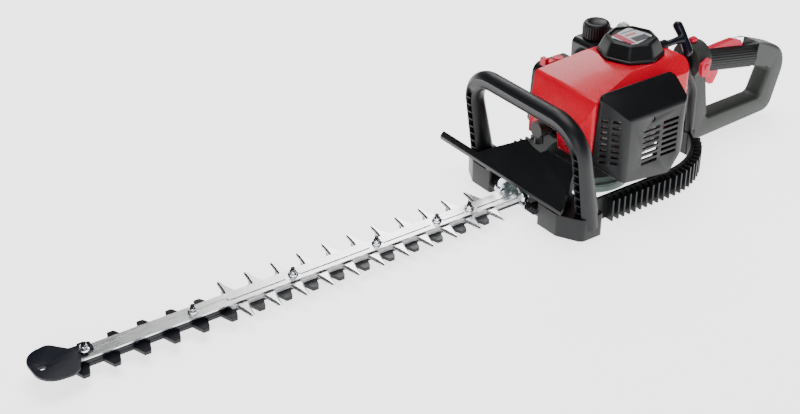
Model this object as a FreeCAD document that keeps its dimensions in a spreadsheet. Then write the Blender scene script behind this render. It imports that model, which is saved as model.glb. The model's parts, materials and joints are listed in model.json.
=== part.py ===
import FreeCAD, Part
import math
import os
import re
import Sketcher

# Petrol hedge trimmer with a double-sided reciprocating blade.
# Working frame: X runs from the blade tip to the rear handle, Z is up and Z = 0 is the top face of the
# upper blade, Y = 0 is the centre line. The last step moves everything so that the origin is the middle
# of the overall box, on the surface that the trimmer stands on. All sizes are in millimetres.

doc = FreeCAD.newDocument("hedge_trimmer")
sheet = doc.addObject("Spreadsheet::Sheet", "sizes")

DRIVING_SIZES = {
    # cutting blades
    "tooth_pitch": 35, "tooth_count": 11, "tooth_reach": 40, "tooth_tip_half": 2.8,
    "tooth_root_front": 5, "tooth_root_rear": 10, "blade_thick": 2, "blade_half": 12.5,
    "blade_front": 11, "blade_land": 0.7, "bevel_angle": 50,
    "slide_gap": 0.2, "blade_travel": 8,
    # guide bar and guard comb
    "bar_thick": 2, "bar_half": 11, "bar_front": 197, "bar_groove": 1.2, "bar_groove_deep": 0.5,
    "rib_half": 3.6, "rib_high": 0.9, "guard_thick": 4.2, "guard_half": 11.8, "guard_reach": 28,
    "guard_root_half": 10.5, "guard_tip_half": 4.6, "guard_count": 16, "guard_first": 191,
    "guard_riser_end": 21,
    # blade bolts
    "bolt_a": -181, "bolt_b": -53, "bolt_c": 75, "bolt_d": 190, "bolt_e": 278, "bolt_f": 327,
    "bolt_radius": 2.5, "sleeve_radius": 4, "head_radius": 5.5, "head_high": 3.2,
    "flange_radius": 6, "flange_high": 1.2, "nut_radius": 4.6, "nut_high": 5.6, "bolt_proud": 2.4,
    # tip protector
    "tip_length": 43, "tip_half": 31.5, "tip_thick": 3.4, "tip_tab": 27, "tip_hole": 4.5,
    "tip_hole_inset": 11,
    # gearcase
    "neck_front": 402, "neck_half": 20, "case_x": 519, "case_radius": 55, "case_wall": 4.5,
    "case_floor": 3.4, "case_top": 14, "case_roof": 3, "case_rim": 2, "boss_radius": 23,
    "crank_x": 578, "gear_teeth": 48, "pinion_teeth": 16, "gear_low": 3.2, "gear_thick": 6,
    "mesh_backlash": 0.35, "shaft_radius": 5, "running_gap": 0.05, "cam_radius": 15, "yoke_gap": 0.6,
    "yoke_wall": 6, "pinion_shaft_radius": 5, "bearing_radius": 11,
    # clutch and engine
    "drum_radius": 29, "drum_wall": 2, "drum_low": 21, "drum_high": 18, "shoe_gap": 1,
    "crank_radius": 6, "crank_offset": 13, "web_radius": 24, "web_thick": 8, "web_gap": 8,
    "pin_radius": 4, "engine_z": 80, "crankcase_radius": 33, "crankcase_wall": 6,
    "crankcase_half": 27, "bore_radius": 16, "bore_gap": 0.06, "liner_wall": 4, "fin_radius": 31,
    "fin_thick": 2, "fin_pitch": 7, "fin_count": 8, "piston_length": 26, "head_thick": 9,
    "fan_radius": 44, "fan_low": 111, "fan_plate": 3, "fan_blade_high": 13, "fan_blades": 18,
    # recoil starter
    "reel_radius": 23, "reel_low": 141, "reel_high": 9, "starter_radius": 40, "starter_wall": 2.5,
    "starter_base": 138, "starter_top": 166, "starter_top_radius": 30, "label_long": 40,
    "label_wide": 37, "label_turn": 13, "label_thick": 0.8, "rope_radius": 1.75, "rope_y": -10,
    "rope_z": 146,
    "rope_end": 631, "guide_radius": 6.5, "pull_x": 660, "pull_long": 48, "pull_tilt": 38, "pull_radius": 8,
    # covers
    "hood_half": 61, "hood_front": 448, "hood_rear": 628, "hood_wall": 2.5, "hood_low": 52,
    "hood_nose": 128, "hood_top": 146, "cover_gap": 0.6, "hood_chamfer": 17, "hood_chamfer_far": 24,
    "hood_nose_inset": 23, "hood_nose_long": 32,
    "muffler_front": 466, "muffler_rear": 592, "muffler_side": 95, "muffler_low": 24,
    "muffler_top": 140, "muffler_crease": 113,
    "air_front": 500, "air_rear": 566, "air_side": 101, "air_low": 13, "air_top": 112,
    "tank_front": 570, "tank_rear": 640, "tank_side": 100, "tank_low": 40, "tank_top": 132,
    "tank_wall": 3, "cap_radius": 18, "cap_high": 22, "primer_x": 608, "primer_y": 60,
    "primer_radius": 10, "primer_travel": 4,
    # front handle, bracket and guard
    "bracket_front": 396, "bracket_rear": 446, "bracket_half": 112, "bracket_top": 10,
    "bracket_gap_half": 45, "loop_half": 102, "loop_top": 132,
    "loop_foot_x": 424, "loop_lean": 17, "tube_radius": 12, "loop_corner": 42,
    "guard_front_x": 387, "guard_front_z": 20, "guard_rear_x": 424, "guard_rear_z": 62,
    "guard_wing": 140, "guard_near": 103, "guard_rear_half": 78, "guard_wing_deep": 8,
    "shield_thick": 3.5, "shield_post": 18,
    # ribbed side rail
    "rail_y": 85, "rail_high": 32, "rail_thick": 4, "rail_rib_deep": 11,
    "rail_rib_thick": 2.6, "rail_rib_pitch": 9.6, "rail_arc_start": 575, "rail_arc_radius": 118,
    "rail_turn": 62,
    # rear handle
    "collar_x": 680, "collar_z": 106, "collar_radius": 24, "collar_long": 24, "handle_half": 14,
    "grip_radius": 16.5,
    "grip_long": 96, "pivot_radius": 2.6, "grip_slope": 10.6, "grip_drop": 5.5, "handle_rear": 862,
    "handle_low": -14, "handle_front": 686,
    "window_front": 706, "window_rear": 832, "mount_radius": 13, "sheath_radius": 6, "sheath_y": 20,
    "stand_z": -20
}

for row, (alias, number) in enumerate(DRIVING_SIZES.items(), start=1):
    sheet.set(f"A{row}", alias)
    sheet.set(f"B{row}", str(number))
    sheet.setAlias(f"B{row}", alias)
doc.recompute()

NODES = []
FUNCTIONS = r"(?!\s*\()"


def cells(text):
    """The expression with every size name pointing at the spreadsheet."""
    return re.sub(r"(?<![\w.])([a-z]\w*)\b" + FUNCTIONS, r"sizes.\1", str(text))


def value(text):
    """The number that an expression on the sizes stands for."""
    return float(sheet.evalExpression(cells(text)))


def bind(obj, **expressions):
    for prop, text in expressions.items():
        obj.setExpression(prop, cells(text))
    return obj


def place(obj, x="0", y="0", z="0"):
    for axis, text in zip("xyz", (x, y, z)):
        obj.setExpression(f".Placement.Base.{axis}", cells(text))
    return obj


def node(obj, name):
    """Seats a finished sub-part in the final frame and gives it the label that names its file."""
    seated = doc.addObject("Part::Compound", "seated")
    seated.Links = [obj]
    seated.Label = name
    place(seated, "(bar_front + tip_length - handle_rear) / 2", "(loop_half + tube_radius - guard_wing) / 2",
          "0 - stand_z")
    NODES.append(seated)
    return obj


def box(x0, x1, y0, y1, z0, z1):
    item = bind(doc.addObject("Part::Box", "block"),
                Length=f"({x1}) - ({x0})", Width=f"({y1}) - ({y0})", Height=f"({z1}) - ({z0})")
    return place(item, x0, y0, z0)


TURNS = {
    "z": FreeCAD.Rotation(),
    "x": FreeCAD.Rotation(FreeCAD.Vector(0, 1, 0), 90),
    "y": FreeCAD.Rotation(FreeCAD.Vector(1, 0, 0), -90),
}


def rod(x, y, start, end, radius, axis="z"):
    """A cylinder from start to end along an axis; x and y are the other two coordinates in order."""
    item = bind(doc.addObject("Part::Cylinder", "rod"), Radius=radius, Height=f"({end}) - ({start})")
    item.Placement.Rotation = TURNS[axis]
    spots = {"z": (x, y, start), "x": (start, x, y), "y": (x, start, y)}
    return place(item, *spots[axis])


def cone(x, y, start, end, radius_start, radius_end, axis="z"):
    item = bind(doc.addObject("Part::Cone", "taper"), Radius1=radius_start, Radius2=radius_end,
                Height=f"({end}) - ({start})")
    item.Placement.Rotation = TURNS[axis]
    spots = {"z": (x, y, start), "x": (start, x, y), "y": (x, start, y)}
    return place(item, *spots[axis])


def fuse(*items):
    if len(items) == 1:
        return items[0]
    item = doc.addObject("Part::MultiFuse", "joined")
    item.Shapes = list(items)
    return item


def group(*items):
    """Separate solids that share one node."""
    item = doc.addObject("Part::Compound", "set")
    item.Links = list(items)
    return item


def cut(base, *tools):
    item = doc.addObject("Part::Cut", "carved")
    item.Base = base
    item.Tool = fuse(*tools)
    return item


def common(base, tool):
    item = doc.addObject("Part::MultiCommon", "shared")
    item.Shapes = [base, tool]
    return item


def mirrored(item):
    """The same piece on the other side of the centre line."""
    other = doc.addObject("Part::Mirroring", "opposite")
    other.Source = item
    other.Normal = (0, 1, 0)
    return other


def new_body(name):
    return doc.addObject("PartDesign::Body", name)


def origin_plane(body, role):
    return next(f for f in body.Origin.OriginFeatures if f.Role == role)


def new_sketch(body, role="XY_Plane", offset="0"):
    sketch = body.newObject("Sketcher::SketchObject", "outline")
    sketch.AttachmentSupport = [(origin_plane(body, role), "")]
    sketch.MapMode = "FlatFace"
    sketch.setExpression(".AttachmentOffset.Base.z", cells(offset))
    return sketch


def dimension(sketch, kind, text, *where):
    """Adds a dimension to the sketch and ties it to an expression on the sizes."""
    index = sketch.addConstraint(Sketcher.Constraint(kind, *where, value(text)))
    sketch.setExpression(f"Constraints[{index}]", cells(text))


def draw_outline(sketch, corners, closed=True):
    """A chain through (x, y, radius) corners; a radius of 0 leaves the corner sharp."""
    spots = [FreeCAD.Vector(value(x), value(y), 0) for x, y, _ in corners]
    count = len(corners)
    sharp = [value(radius) == 0 or not closed and i in (0, count - 1)
             for i, (_, _, radius) in enumerate(corners)]
    trims = []
    for i, (_, _, radius) in enumerate(corners):
        if sharp[i]:
            trims.append((spots[i], spots[i], None, None, None))
            continue
        before = (spots[i - 1] - spots[i]).normalize()
        after = (spots[(i + 1) % count] - spots[i]).normalize()
        half = before.getAngle(after) / 2
        trim = value(radius) / math.tan(half)
        trims.append((spots[i] + before * trim, spots[i] + after * trim, before, after, half))
    lines = []
    for i in range(count if closed else count - 1):
        line = Part.LineSegment(trims[i][1], trims[(i + 1) % count][0])
        lines.append(sketch.addGeometry(line))
    for i, (x, y, radius) in enumerate(corners):
        if sharp[i]:
            start = (lines[i], 1) if i < len(lines) else (lines[-1], 2)
            if closed or 0 < i < count - 1:
                sketch.addConstraint(Sketcher.Constraint("Coincident", lines[i - 1], 2, lines[i], 1))
            dimension(sketch, "DistanceX", x, -1, 1, *start)
            dimension(sketch, "DistanceY", y, -1, 1, *start)
            continue
        start, end, before, after, half = trims[i]
        size = value(radius)
        centre = spots[i] + (before + after).normalize() * (size / math.sin(half))
        first = math.atan2(start.y - centre.y, start.x - centre.x)
        last = math.atan2(end.y - centre.y, end.x - centre.x)
        left_turn = before.cross(after).z < 0
        circle = Part.Circle(centre, FreeCAD.Vector(0, 0, 1), size)
        span = (first, last) if left_turn else (last, first)
        arc = sketch.addGeometry(Part.ArcOfCircle(circle, *span))
        ends = (1, 2) if left_turn else (2, 1)
        sketch.addConstraint(Sketcher.Constraint("Tangent", lines[i - 1], 2, arc, ends[0]))
        sketch.addConstraint(Sketcher.Constraint("Tangent", lines[i], 1, arc, ends[1]))
        dimension(sketch, "Radius", radius, arc)
        corner = sketch.addGeometry(Part.Point(spots[i]), True)
        sketch.addConstraint(Sketcher.Constraint("PointOnObject", corner, 1, lines[i - 1]))
        sketch.addConstraint(Sketcher.Constraint("PointOnObject", corner, 1, lines[i]))
        dimension(sketch, "DistanceX", x, -1, 1, corner, 1)
        dimension(sketch, "DistanceY", y, -1, 1, corner, 1)
    return sketch


def pad(body, sketch, length, kind="PartDesign::Pad", middle=False, taper=None):
    feature = body.newObject(kind, "layer")
    feature.Profile = sketch
    feature.setExpression("Length", cells(length))
    if middle:
        feature.Midplane = True
    if taper:
        feature.setExpression("TaperAngle", cells(taper))
    sketch.Visibility = False
    body.Tip = feature
    return feature


def plate(name, corners, low, high, role="XY_Plane", middle=False):
    """A body with one padded outline between two levels of its plane."""
    body = new_body(name)
    sketch = draw_outline(new_sketch(body, role, "0" if middle else low), corners)
    pad(body, sketch, f"({high}) - ({low})", middle=middle)
    return body


def soften(item, radius, wanted, chamfer=False):
    """Rounds the edges that pass the test by a size on the sheet."""
    doc.recompute()
    size = value(radius)
    result = doc.addObject("Part::Chamfer" if chamfer else "Part::Fillet", "eased")
    result.Base = item
    edges = item.Shape.Edges
    result.Edges = [(i + 1, size, size) for i, edge in enumerate(edges) if wanted(edge)]
    return result


def upright(edge):
    """True for a straight edge along Z."""
    box_of = edge.BoundBox
    return box_of.XLength < 0.01 and box_of.YLength < 0.01 and box_of.ZLength > 1


# ---- Cutting blades, guide bar and guard comb ----------------------------------------------------

BOLTS = ["bolt_a", "bolt_b", "bolt_c", "bolt_d", "bolt_e", "bolt_f"]
SLIDING_BOLTS = BOLTS[2:]
LOWER_BLADE_TOP = "0 - blade_thick - slide_gap"
GUARD_TOP = "0 - 2 * blade_thick - 2 * slide_gap"
GUARD_LOW = f"{GUARD_TOP} - guard_thick"
BAR_TOP = "slide_gap + bar_thick"
YOKE_X = "cam_radius + 2 * blade_travel + yoke_gap"
YOKE_Y = "cam_radius + blade_travel + yoke_gap"
LAST_TOOTH = "tooth_pitch * (tooth_count - 1)"


def tooth_outline(front_root, rear_root):
    """A tooth that crosses the strip and shows on both sides of it."""
    tip = "tooth_reach"
    inner = "blade_half - 1"
    nose = "tooth_tip_half - 0.3"
    rear = f"tooth_tip_half + ({rear_root})"
    front = f"0 - tooth_tip_half - ({front_root})"
    return [("0 - tooth_tip_half", f"0 - {tip}", nose), ("tooth_tip_half", f"0 - {tip}", nose),
            (rear, f"0 - ({inner})", "0"), (rear, inner, "0"),
            ("tooth_tip_half", tip, nose), ("0 - tooth_tip_half", tip, nose),
            (front, inner, "0"), (front, f"0 - ({inner})", "0")]


def cutter(name, low, bevel_up, front_root, rear_root):
    """One reciprocating blade: strip, ground teeth, bolt slots and the cross slot for its cam."""
    body = new_body(f"{name}_strip")
    tail = f"case_x + {YOKE_X} + yoke_wall"
    strip = draw_outline(new_sketch(body, offset=low), [
        ("0 - blade_front", "0 - blade_half", "1"), (tail, "0 - blade_half", "0"),
        (tail, "blade_half", "0"), ("0 - blade_front", "blade_half", "1")])
    pad(body, strip, "blade_thick")
    land_low = low if bevel_up else f"({low}) + blade_thick - blade_land"
    land = draw_outline(new_sketch(body, offset=land_low), tooth_outline(front_root, rear_root))
    land_pad = pad(body, land, "blade_land")
    bevel_low = f"({low}) + blade_land" if bevel_up else f"({low}) + blade_thick - blade_land"
    bevel = draw_outline(new_sketch(body, offset=bevel_low), tooth_outline(front_root, rear_root))
    ground = pad(body, bevel, "blade_thick - blade_land", taper="0 - bevel_angle")
    ground.Reversed = not bevel_up
    doc.recompute()
    rows = body.newObject("PartDesign::LinearPattern", "teeth")
    rows.Originals = [land_pad, ground]
    rows.Direction = (origin_plane(body, "X_Axis"), [""])
    rows.setExpression("Length", cells(LAST_TOOTH))
    rows.setExpression("Occurrences", cells("tooth_count"))
    body.Tip = rows
    doc.recompute()
    ring = soften(box(f"case_x - ({YOKE_X}) - yoke_wall", f"case_x + {YOKE_X} + yoke_wall",
                      f"0 - ({YOKE_Y}) - yoke_wall", f"{YOKE_Y} + yoke_wall", low,
                      f"({low}) + blade_thick"), "cam_radius", upright)
    window = soften(box(f"case_x - ({YOKE_X})", f"case_x + {YOKE_X}", f"0 - ({YOKE_Y})", YOKE_Y,
                        f"({low}) - 1", f"({low}) + blade_thick + 1"), "cam_radius - 2", upright)
    slots = []
    for bolt in SLIDING_BOLTS:
        wide = "(sleeve_radius + slide_gap)"
        slots.append(box(f"{bolt} - blade_travel", f"{bolt} + blade_travel", f"0 - {wide}", wide,
                         f"({low}) - 1", f"({low}) + blade_thick + 1"))
        for side in ("-", "+"):
            slots.append(rod(f"{bolt} {side} blade_travel", "0", f"({low}) - 1",
                             f"({low}) + blade_thick + 1", wide))
    return node(cut(fuse(body, ring), window, *slots), name)


upper_blade = cutter("upper_blade", "0 - blade_thick", True, "tooth_root_front", "tooth_root_rear")
lower_blade = cutter("lower_blade", f"{LOWER_BLADE_TOP} - blade_thick", False,
                     "tooth_root_rear - 3", "tooth_root_front + 1")

bar = box("0 - bar_front", "neck_front + 38", "0 - bar_half", "bar_half", "slide_gap", BAR_TOP)
groove = box("0 - bar_front - 1", "0 - blade_front", "1.5", "1.5 + bar_groove",
             f"{BAR_TOP} - bar_groove_deep", f"{BAR_TOP} + 1")
notch = plate("notch", [("0 - blade_front - 1", "2.5", "0"), ("0 - blade_front + 6", "7", "0"),
                        ("0 - blade_front - 1", "11.5", "0")], f"{BAR_TOP} - 0.8", f"{BAR_TOP} + 1")
rib_ends = [("0 - blade_front + 4", "bolt_c - 14"), ("bolt_c + 10", "bolt_d - 14"),
            ("bolt_d + 10", "bolt_e - 14"), ("bolt_e + 10", "bolt_f - 12"),
            ("bolt_f + 10", "neck_front - 12")]
ribs = []
for start, end in rib_ends:
    ribs.append(box(start, end, "0 - rib_half", "rib_half", BAR_TOP, f"{BAR_TOP} + rib_high"))
    for tip in (start, end):
        ribs.append(rod(tip, "0", BAR_TOP, f"{BAR_TOP} + rib_high", "rib_half"))
bolt_holes = [rod(bolt, "0", f"{GUARD_LOW} - 1", f"{BAR_TOP} + 2", "bolt_radius + slide_gap")
              for bolt in BOLTS]
guide_bar = node(cut(fuse(bar, *ribs), groove, notch, *bolt_holes), "guide_bar")


def comb_teeth(side, phase):
    """The blunt teeth of the guard on one side, eased towards the tip."""
    body = new_body("comb")
    root, tip = f"{side} (guard_half - 2)", f"{side} guard_reach"
    corner = f"{side} (guard_reach - 3)"
    corners = [("0 - guard_root_half", root, "0"), ("guard_root_half", root, "0"),
               ("guard_tip_half", corner, "1"), ("guard_tip_half - 2", tip, "1"),
               ("0 - guard_tip_half", tip, "1")]
    if side == "0 -":
        corners.reverse()
    first = f"0 - guard_first + {phase}"
    shifted = [(f"{x} + ({first})", y, radius) for x, y, radius in corners]
    pad(body, draw_outline(new_sketch(body, offset=GUARD_LOW), shifted), "guard_thick")
    doc.recompute()
    rows = body.newObject("PartDesign::LinearPattern", "comb_row")
    rows.Originals = [body.Tip]
    rows.Direction = (origin_plane(body, "X_Axis"), [""])
    rows.setExpression("Length", cells("tooth_pitch * (guard_count - 1)"))
    rows.setExpression("Occurrences", cells("guard_count"))
    body.Tip = rows
    return body


comb_strip = box("0 - bar_front", "neck_front", "0 - guard_half", "guard_half", GUARD_LOW, GUARD_TOP)
comb_riser = box("0 - bar_front", "0 - guard_riser_end", "0 - guard_half + 0.5", "guard_half - 0.5",
                 GUARD_TOP, "slide_gap")
comb_holes = [rod(bolt, "0", f"{GUARD_LOW} - 1", "2", "bolt_radius + slide_gap") for bolt in BOLTS]
comb = fuse(comb_strip, comb_riser, comb_teeth("0 -", "0"), comb_teeth("0 +", "tooth_pitch / 2"))
blade_guard = node(cut(comb, *comb_holes), "blade_guard")

bolts = []
nuts = []
for bolt in BOLTS:
    seat = BAR_TOP if bolt != "bolt_a" else f"{BAR_TOP} + tip_thick"
    shank = rod(bolt, "0", GUARD_LOW, f"{seat} + flange_high + nut_high + bolt_proud", "bolt_radius")
    head = rod(bolt, "0", f"{GUARD_LOW} - head_high", GUARD_LOW, "head_radius")
    parts = [shank, head]
    if bolt in SLIDING_BOLTS:
        parts.append(rod(bolt, "0", GUARD_TOP, "slide_gap", "sleeve_radius"))
    bolts.append(fuse(*parts))
    flange = rod(bolt, "0", seat, f"{seat} + flange_high", "flange_radius")
    dome = cone(bolt, "0", f"{seat} + flange_high", f"{seat} + flange_high + nut_high",
                "nut_radius", "nut_radius - 0.8")
    nuts.append(cut(fuse(flange, dome), rod(bolt, "0", f"{seat} - 1",
                                            f"{seat} + flange_high + nut_high + 1", "bolt_radius")))
blade_bolts = node(group(*bolts), "blade_bolts")
blade_nuts = node(group(*nuts), "blade_nuts")

# The protector lies on the bar's front end: a wide bill with a slotted hole and a tab under the nut.
bill_front = "0 - bar_front - tip_length"
tip_low, tip_high = BAR_TOP, f"{BAR_TOP} + tip_thick"
bill = plate("bill", [
    (bill_front, "0 - tip_half + 3", "tip_half - 8"), ("0 - bar_front - 8", "0 - tip_half", "14"),
    ("0 - bar_front", "0 - tip_half + 5", "2"), ("0 - bar_front + 12", "0 - 1", "2"),
    ("0 - bar_front + tip_tab", "0 - 1", "1"), ("0 - bar_front + tip_tab", "bar_half + 1", "2"),
    ("0 - bar_front + 4", "bar_half + 1", "5"), ("0 - bar_front - 12", "tip_half", "9"),
    (bill_front, "tip_half - 4", "tip_half - 9")], tip_low, tip_high)
skirt = plate("skirt", [
    (f"{bill_front} + 6", "0 - 18", "8"), ("0 - bar_front - 1", "0 - 26", "3"),
    ("0 - bar_front - 1", "22", "3"), (f"{bill_front} + 6", "20", "8")], "0", BAR_TOP)
hole_x = f"{bill_front} + tip_hole_inset"
tip_holes = [rod(hole_x, "0 - 3", "0 - 1", f"{tip_high} + 1", "tip_hole"),
             rod("bolt_a", "0", "0", f"{tip_high} + 1", "bolt_radius + slide_gap")]
tip_protector = node(cut(fuse(bill, skirt), *tip_holes), "tip_protector")


# ---- Gearcase and blade drive ---------------------------------------------------------------------

CASE_SPLIT = BAR_TOP
CASE_LOW = f"{GUARD_TOP} - case_floor"
CAVITY = "case_radius - case_wall"


def case_blank(low, high):
    """The outline that both halves share: gear disc, pinion boss and the neck that holds the bar."""
    return fuse(rod("case_x", "0", low, high, "case_radius"),
                rod("crank_x", "0", low, high, "boss_radius"),
                box("case_x", "crank_x", "0 - boss_radius", "boss_radius", low, high),
                box("neck_front", "case_x", "0 - neck_half", "neck_half", low, high))


lower_rim = rod("case_x", "0", f"{CASE_SPLIT} - 2.5", CASE_SPLIT, "case_radius + case_rim")
neck_slot = box("neck_front - 1", "case_x", "0 - blade_half - 1", "blade_half + 1", GUARD_TOP,
                f"{CASE_SPLIT} + 1")
lower_cavity = rod("case_x", "0", GUARD_TOP, f"{CASE_SPLIT} + 1", CAVITY)
pinion_room = rod("crank_x", "0", f"{CASE_SPLIT} - 1", "gear_low + gear_thick + 1", "boss_radius - 4")
shaft_seat = rod("case_x", "0", f"{CASE_LOW} - 1", "case_top + 1", "shaft_radius")
gearcase_lower = node(cut(fuse(case_blank(CASE_LOW, CASE_SPLIT), lower_rim), neck_slot, lower_cavity,
                          shaft_seat), "gearcase_lower")

upper_blank = case_blank(CASE_SPLIT, "case_top")
tower_top = "drum_low - 1"
tower = rod("crank_x", "0", "case_top", tower_top, "bearing_radius + 4")
flange = rod("case_x", "0", CASE_SPLIT, f"{CASE_SPLIT} + 2.5", "case_radius + case_rim")
gear_room = rod("case_x", "0", f"{CASE_SPLIT} - 1", "case_top - case_roof", CAVITY)
upper_pinion_room = rod("crank_x", "0", f"{CASE_SPLIT} - 1", "case_top - case_roof", "boss_radius - 4")
bearing_seat = rod("crank_x", "0", "case_top - case_roof - 1", f"{tower_top} + 1", "bearing_radius")
gearcase_upper = node(cut(fuse(upper_blank, flange, tower), gear_room, upper_pinion_room,
                          bearing_seat, shaft_seat), "gearcase_upper")

SCREW_COUNT = 6
screws = []
for number in range(SCREW_COUNT):
    angle = f"({360 // SCREW_COUNT * number} + 30)"
    screw_x = f"case_x + (case_radius - 6) * cos({angle} * 1deg)"
    screw_y = f"(case_radius - 6) * sin({angle} * 1deg)"
    screws.append(cut(rod(screw_x, screw_y, "case_top", "case_top + 3", "3.4"),
                      rod(screw_x, screw_y, "case_top + 1.4", "case_top + 4", "1.7")))
case_screw_heads = screws[1:5]

gear_shaft = node(rod("case_x", "0", CASE_LOW, "case_top", "shaft_radius"), "gear_shaft")

CENTRE_DISTANCE = "(crank_x - case_x)"
MODULE = f"(2 * {CENTRE_DISTANCE} / (gear_teeth + pinion_teeth))"


def gear_blank(teeth, low, high, turn=0.0):
    """A spur gear whose teeth are narrowed by the mesh backlash, as a prism of one closed outline."""
    module = value(MODULE)
    pitch_radius = module * teeth / 2
    backlash = value("mesh_backlash")
    half_pitch = math.pi / (2 * teeth) - backlash / (2 * pitch_radius)
    flank = math.tan(math.radians(20)) * module / pitch_radius
    levels = [(pitch_radius - 1.25 * module, half_pitch + 1.15 * flank),
              (pitch_radius, half_pitch),
              (pitch_radius + 0.9 * module, half_pitch - 1.0 * flank)]
    points = []
    for tooth in range(teeth):
        middle = 2 * math.pi * tooth / teeth + turn
        for radius, half in levels:
            points.append(FreeCAD.Vector(radius * math.cos(middle - half),
                                         radius * math.sin(middle - half), value(low)))
        for radius, half in reversed(levels):
            points.append(FreeCAD.Vector(radius * math.cos(middle + half),
                                         radius * math.sin(middle + half), value(low)))
    face = Part.Face(Part.makePolygon(points + points[:1]))
    item = doc.addObject("Part::Feature", "gear_teeth_ring")
    item.Shape = face.extrude(FreeCAD.Vector(0, 0, value(high) - value(low)))
    return item


GEAR_TEETH = int(value("gear_teeth"))
PINION_TEETH = int(value("pinion_teeth"))
GEAR_TOP = "gear_low + gear_thick"
wheel = place(gear_blank(GEAR_TEETH, "gear_low", GEAR_TOP, math.pi / GEAR_TEETH), "case_x")
upper_cam = rod("case_x", "blade_travel", "0 - blade_thick", "gear_low", "cam_radius")
lower_cam = rod("case_x", "0 - blade_travel", f"{GUARD_TOP} + slide_gap", "0 - blade_thick", "cam_radius")
shaft_bore = rod("case_x", "0", f"{GUARD_TOP} - 1", f"{GEAR_TOP} + 1", "shaft_radius + running_gap")
lightening = [rod("case_x + 28 * cos({0} * 60deg)".format(n), "28 * sin({0} * 60deg)".format(n),
                  "gear_low - 1", f"{GEAR_TOP} + 1", "6") for n in range(6)]
drive_gear = node(cut(fuse(wheel, upper_cam, lower_cam), shaft_bore, *lightening[::3]), "drive_gear")

pinion_ring = place(gear_blank(PINION_TEETH, "gear_low", GEAR_TOP), "crank_x")
pinion_shaft = rod("crank_x", "0", "gear_low", "drum_low", "pinion_shaft_radius")
drive_pinion = node(fuse(pinion_ring, pinion_shaft), "drive_pinion")
bearing_low = "case_top - case_roof"
pinion_bearing = node(cut(rod("crank_x", "0", bearing_low, tower_top, "bearing_radius"),
                          rod("crank_x", "0", f"{bearing_low} - 1", f"{tower_top} + 1",
                              "pinion_shaft_radius + running_gap")), "pinion_bearing")


# ---- Clutch -----------------------------------------------------------------------------------------

drum_top = "drum_low + drum_high"
drum_cup = rod("crank_x", "0", "drum_low", drum_top, "drum_radius")
drum_room = rod("crank_x", "0", "drum_low + drum_wall", f"{drum_top} + 1", "drum_radius - drum_wall")
clutch_drum = node(cut(drum_cup, drum_room), "clutch_drum")
shoe_low = "drum_low + drum_wall + 2"
shoe_high = f"{drum_top} - 1"
shoe_ring = cut(rod("crank_x", "0", shoe_low, shoe_high, "drum_radius - drum_wall - shoe_gap"),
                rod("crank_x", "0", f"{shoe_low} - 1", f"{shoe_high} + 1", "13"))
shoe_split = box("crank_x - 2.5", "crank_x + 2.5", "0 - drum_radius", "drum_radius",
                 f"{shoe_low} - 1", f"{shoe_high} + 1")
clutch_shoes = node(cut(shoe_ring, shoe_split), "clutch_shoes")
hub_low = shoe_low
clutch_hub = node(cut(rod("crank_x", "0", hub_low, shoe_high, "12.6"),
                      rod("crank_x", "0", f"{hub_low} - 1", f"{shoe_high} + 1", "crank_radius")),
                  "clutch_hub")


# ---- Crankcase, crankshaft, cylinder and piston -------------------------------------------------------

case_bottom = "engine_z - crankcase_half"
case_head = "engine_z + crankcase_half"
WEB_LOW = "engine_z - web_gap / 2 - web_thick"
WEB_HIGH = "engine_z + web_gap / 2 + web_thick"
crank_bearing = "7"
shell = rod("crank_x", "0", case_bottom, case_head, "crankcase_radius")
crank_room = rod("crank_x", "0", f"{WEB_LOW} - 1", f"{WEB_HIGH} + 1", "crankcase_radius - crankcase_wall")
seats = rod("crank_x", "0", f"{case_bottom} - 4", f"{case_head} + 1", "bearing_radius + 2")
mouth_radius = "bore_radius + liner_wall"
mouth = rod("0", "engine_z", "crank_x - crankcase_radius - 1", "crank_x", mouth_radius, "x")
belly = rod("crank_x", "0", "case_top + 0.5", case_bottom, "drum_radius + 5")
belly_room = rod("crank_x", "0", "case_top", f"{case_bottom} - 3", "drum_radius + 2")
tower_room = rod("crank_x", "0", "case_top - 1", "drum_low", "bearing_radius + 5")
belly_floor = rod("crank_x", "0", "case_top", "case_top + 2.5", "drum_radius + 3")
crankcase = node(cut(fuse(shell, cut(belly, belly_room), belly_floor), crank_room, seats, mouth,
                     tower_room), "crankcase")

bearing_rings = []
for low in (case_bottom, f"{case_head} - {crank_bearing}"):
    bearing_rings.append(cut(rod("crank_x", "0", low, f"({low}) + {crank_bearing}", "bearing_radius + 2"),
                             rod("crank_x", "0", f"({low}) - 1", f"({low}) + {crank_bearing} + 1",
                                 "crank_radius + running_gap")))
crank_bearings = node(group(*bearing_rings), "crank_bearings")

pocket_radius = "crank_offset + pin_radius + 0.6"
low_web = cut(rod("crank_x", "0", WEB_LOW, f"{WEB_LOW} + web_thick", "web_radius"),
              rod("crank_x", "0", f"{WEB_LOW} + web_thick - 3", "engine_z", pocket_radius))
high_web = cut(rod("crank_x", "0", f"{WEB_HIGH} - web_thick", WEB_HIGH, "web_radius"),
               rod("crank_x", "0", "engine_z", f"{WEB_HIGH} - web_thick + 3", pocket_radius))
reel_top = "reel_low + reel_high"
lower_stub = rod("crank_x", "0", shoe_low, f"{WEB_LOW} + 1", "crank_radius")
upper_stub = rod("crank_x", "0", f"{WEB_HIGH} - 1", "fan_low + fan_plate + 6", "crank_radius")
crankshaft = node(group(fuse(low_web, lower_stub), fuse(high_web, upper_stub)), "crankshaft")

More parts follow.
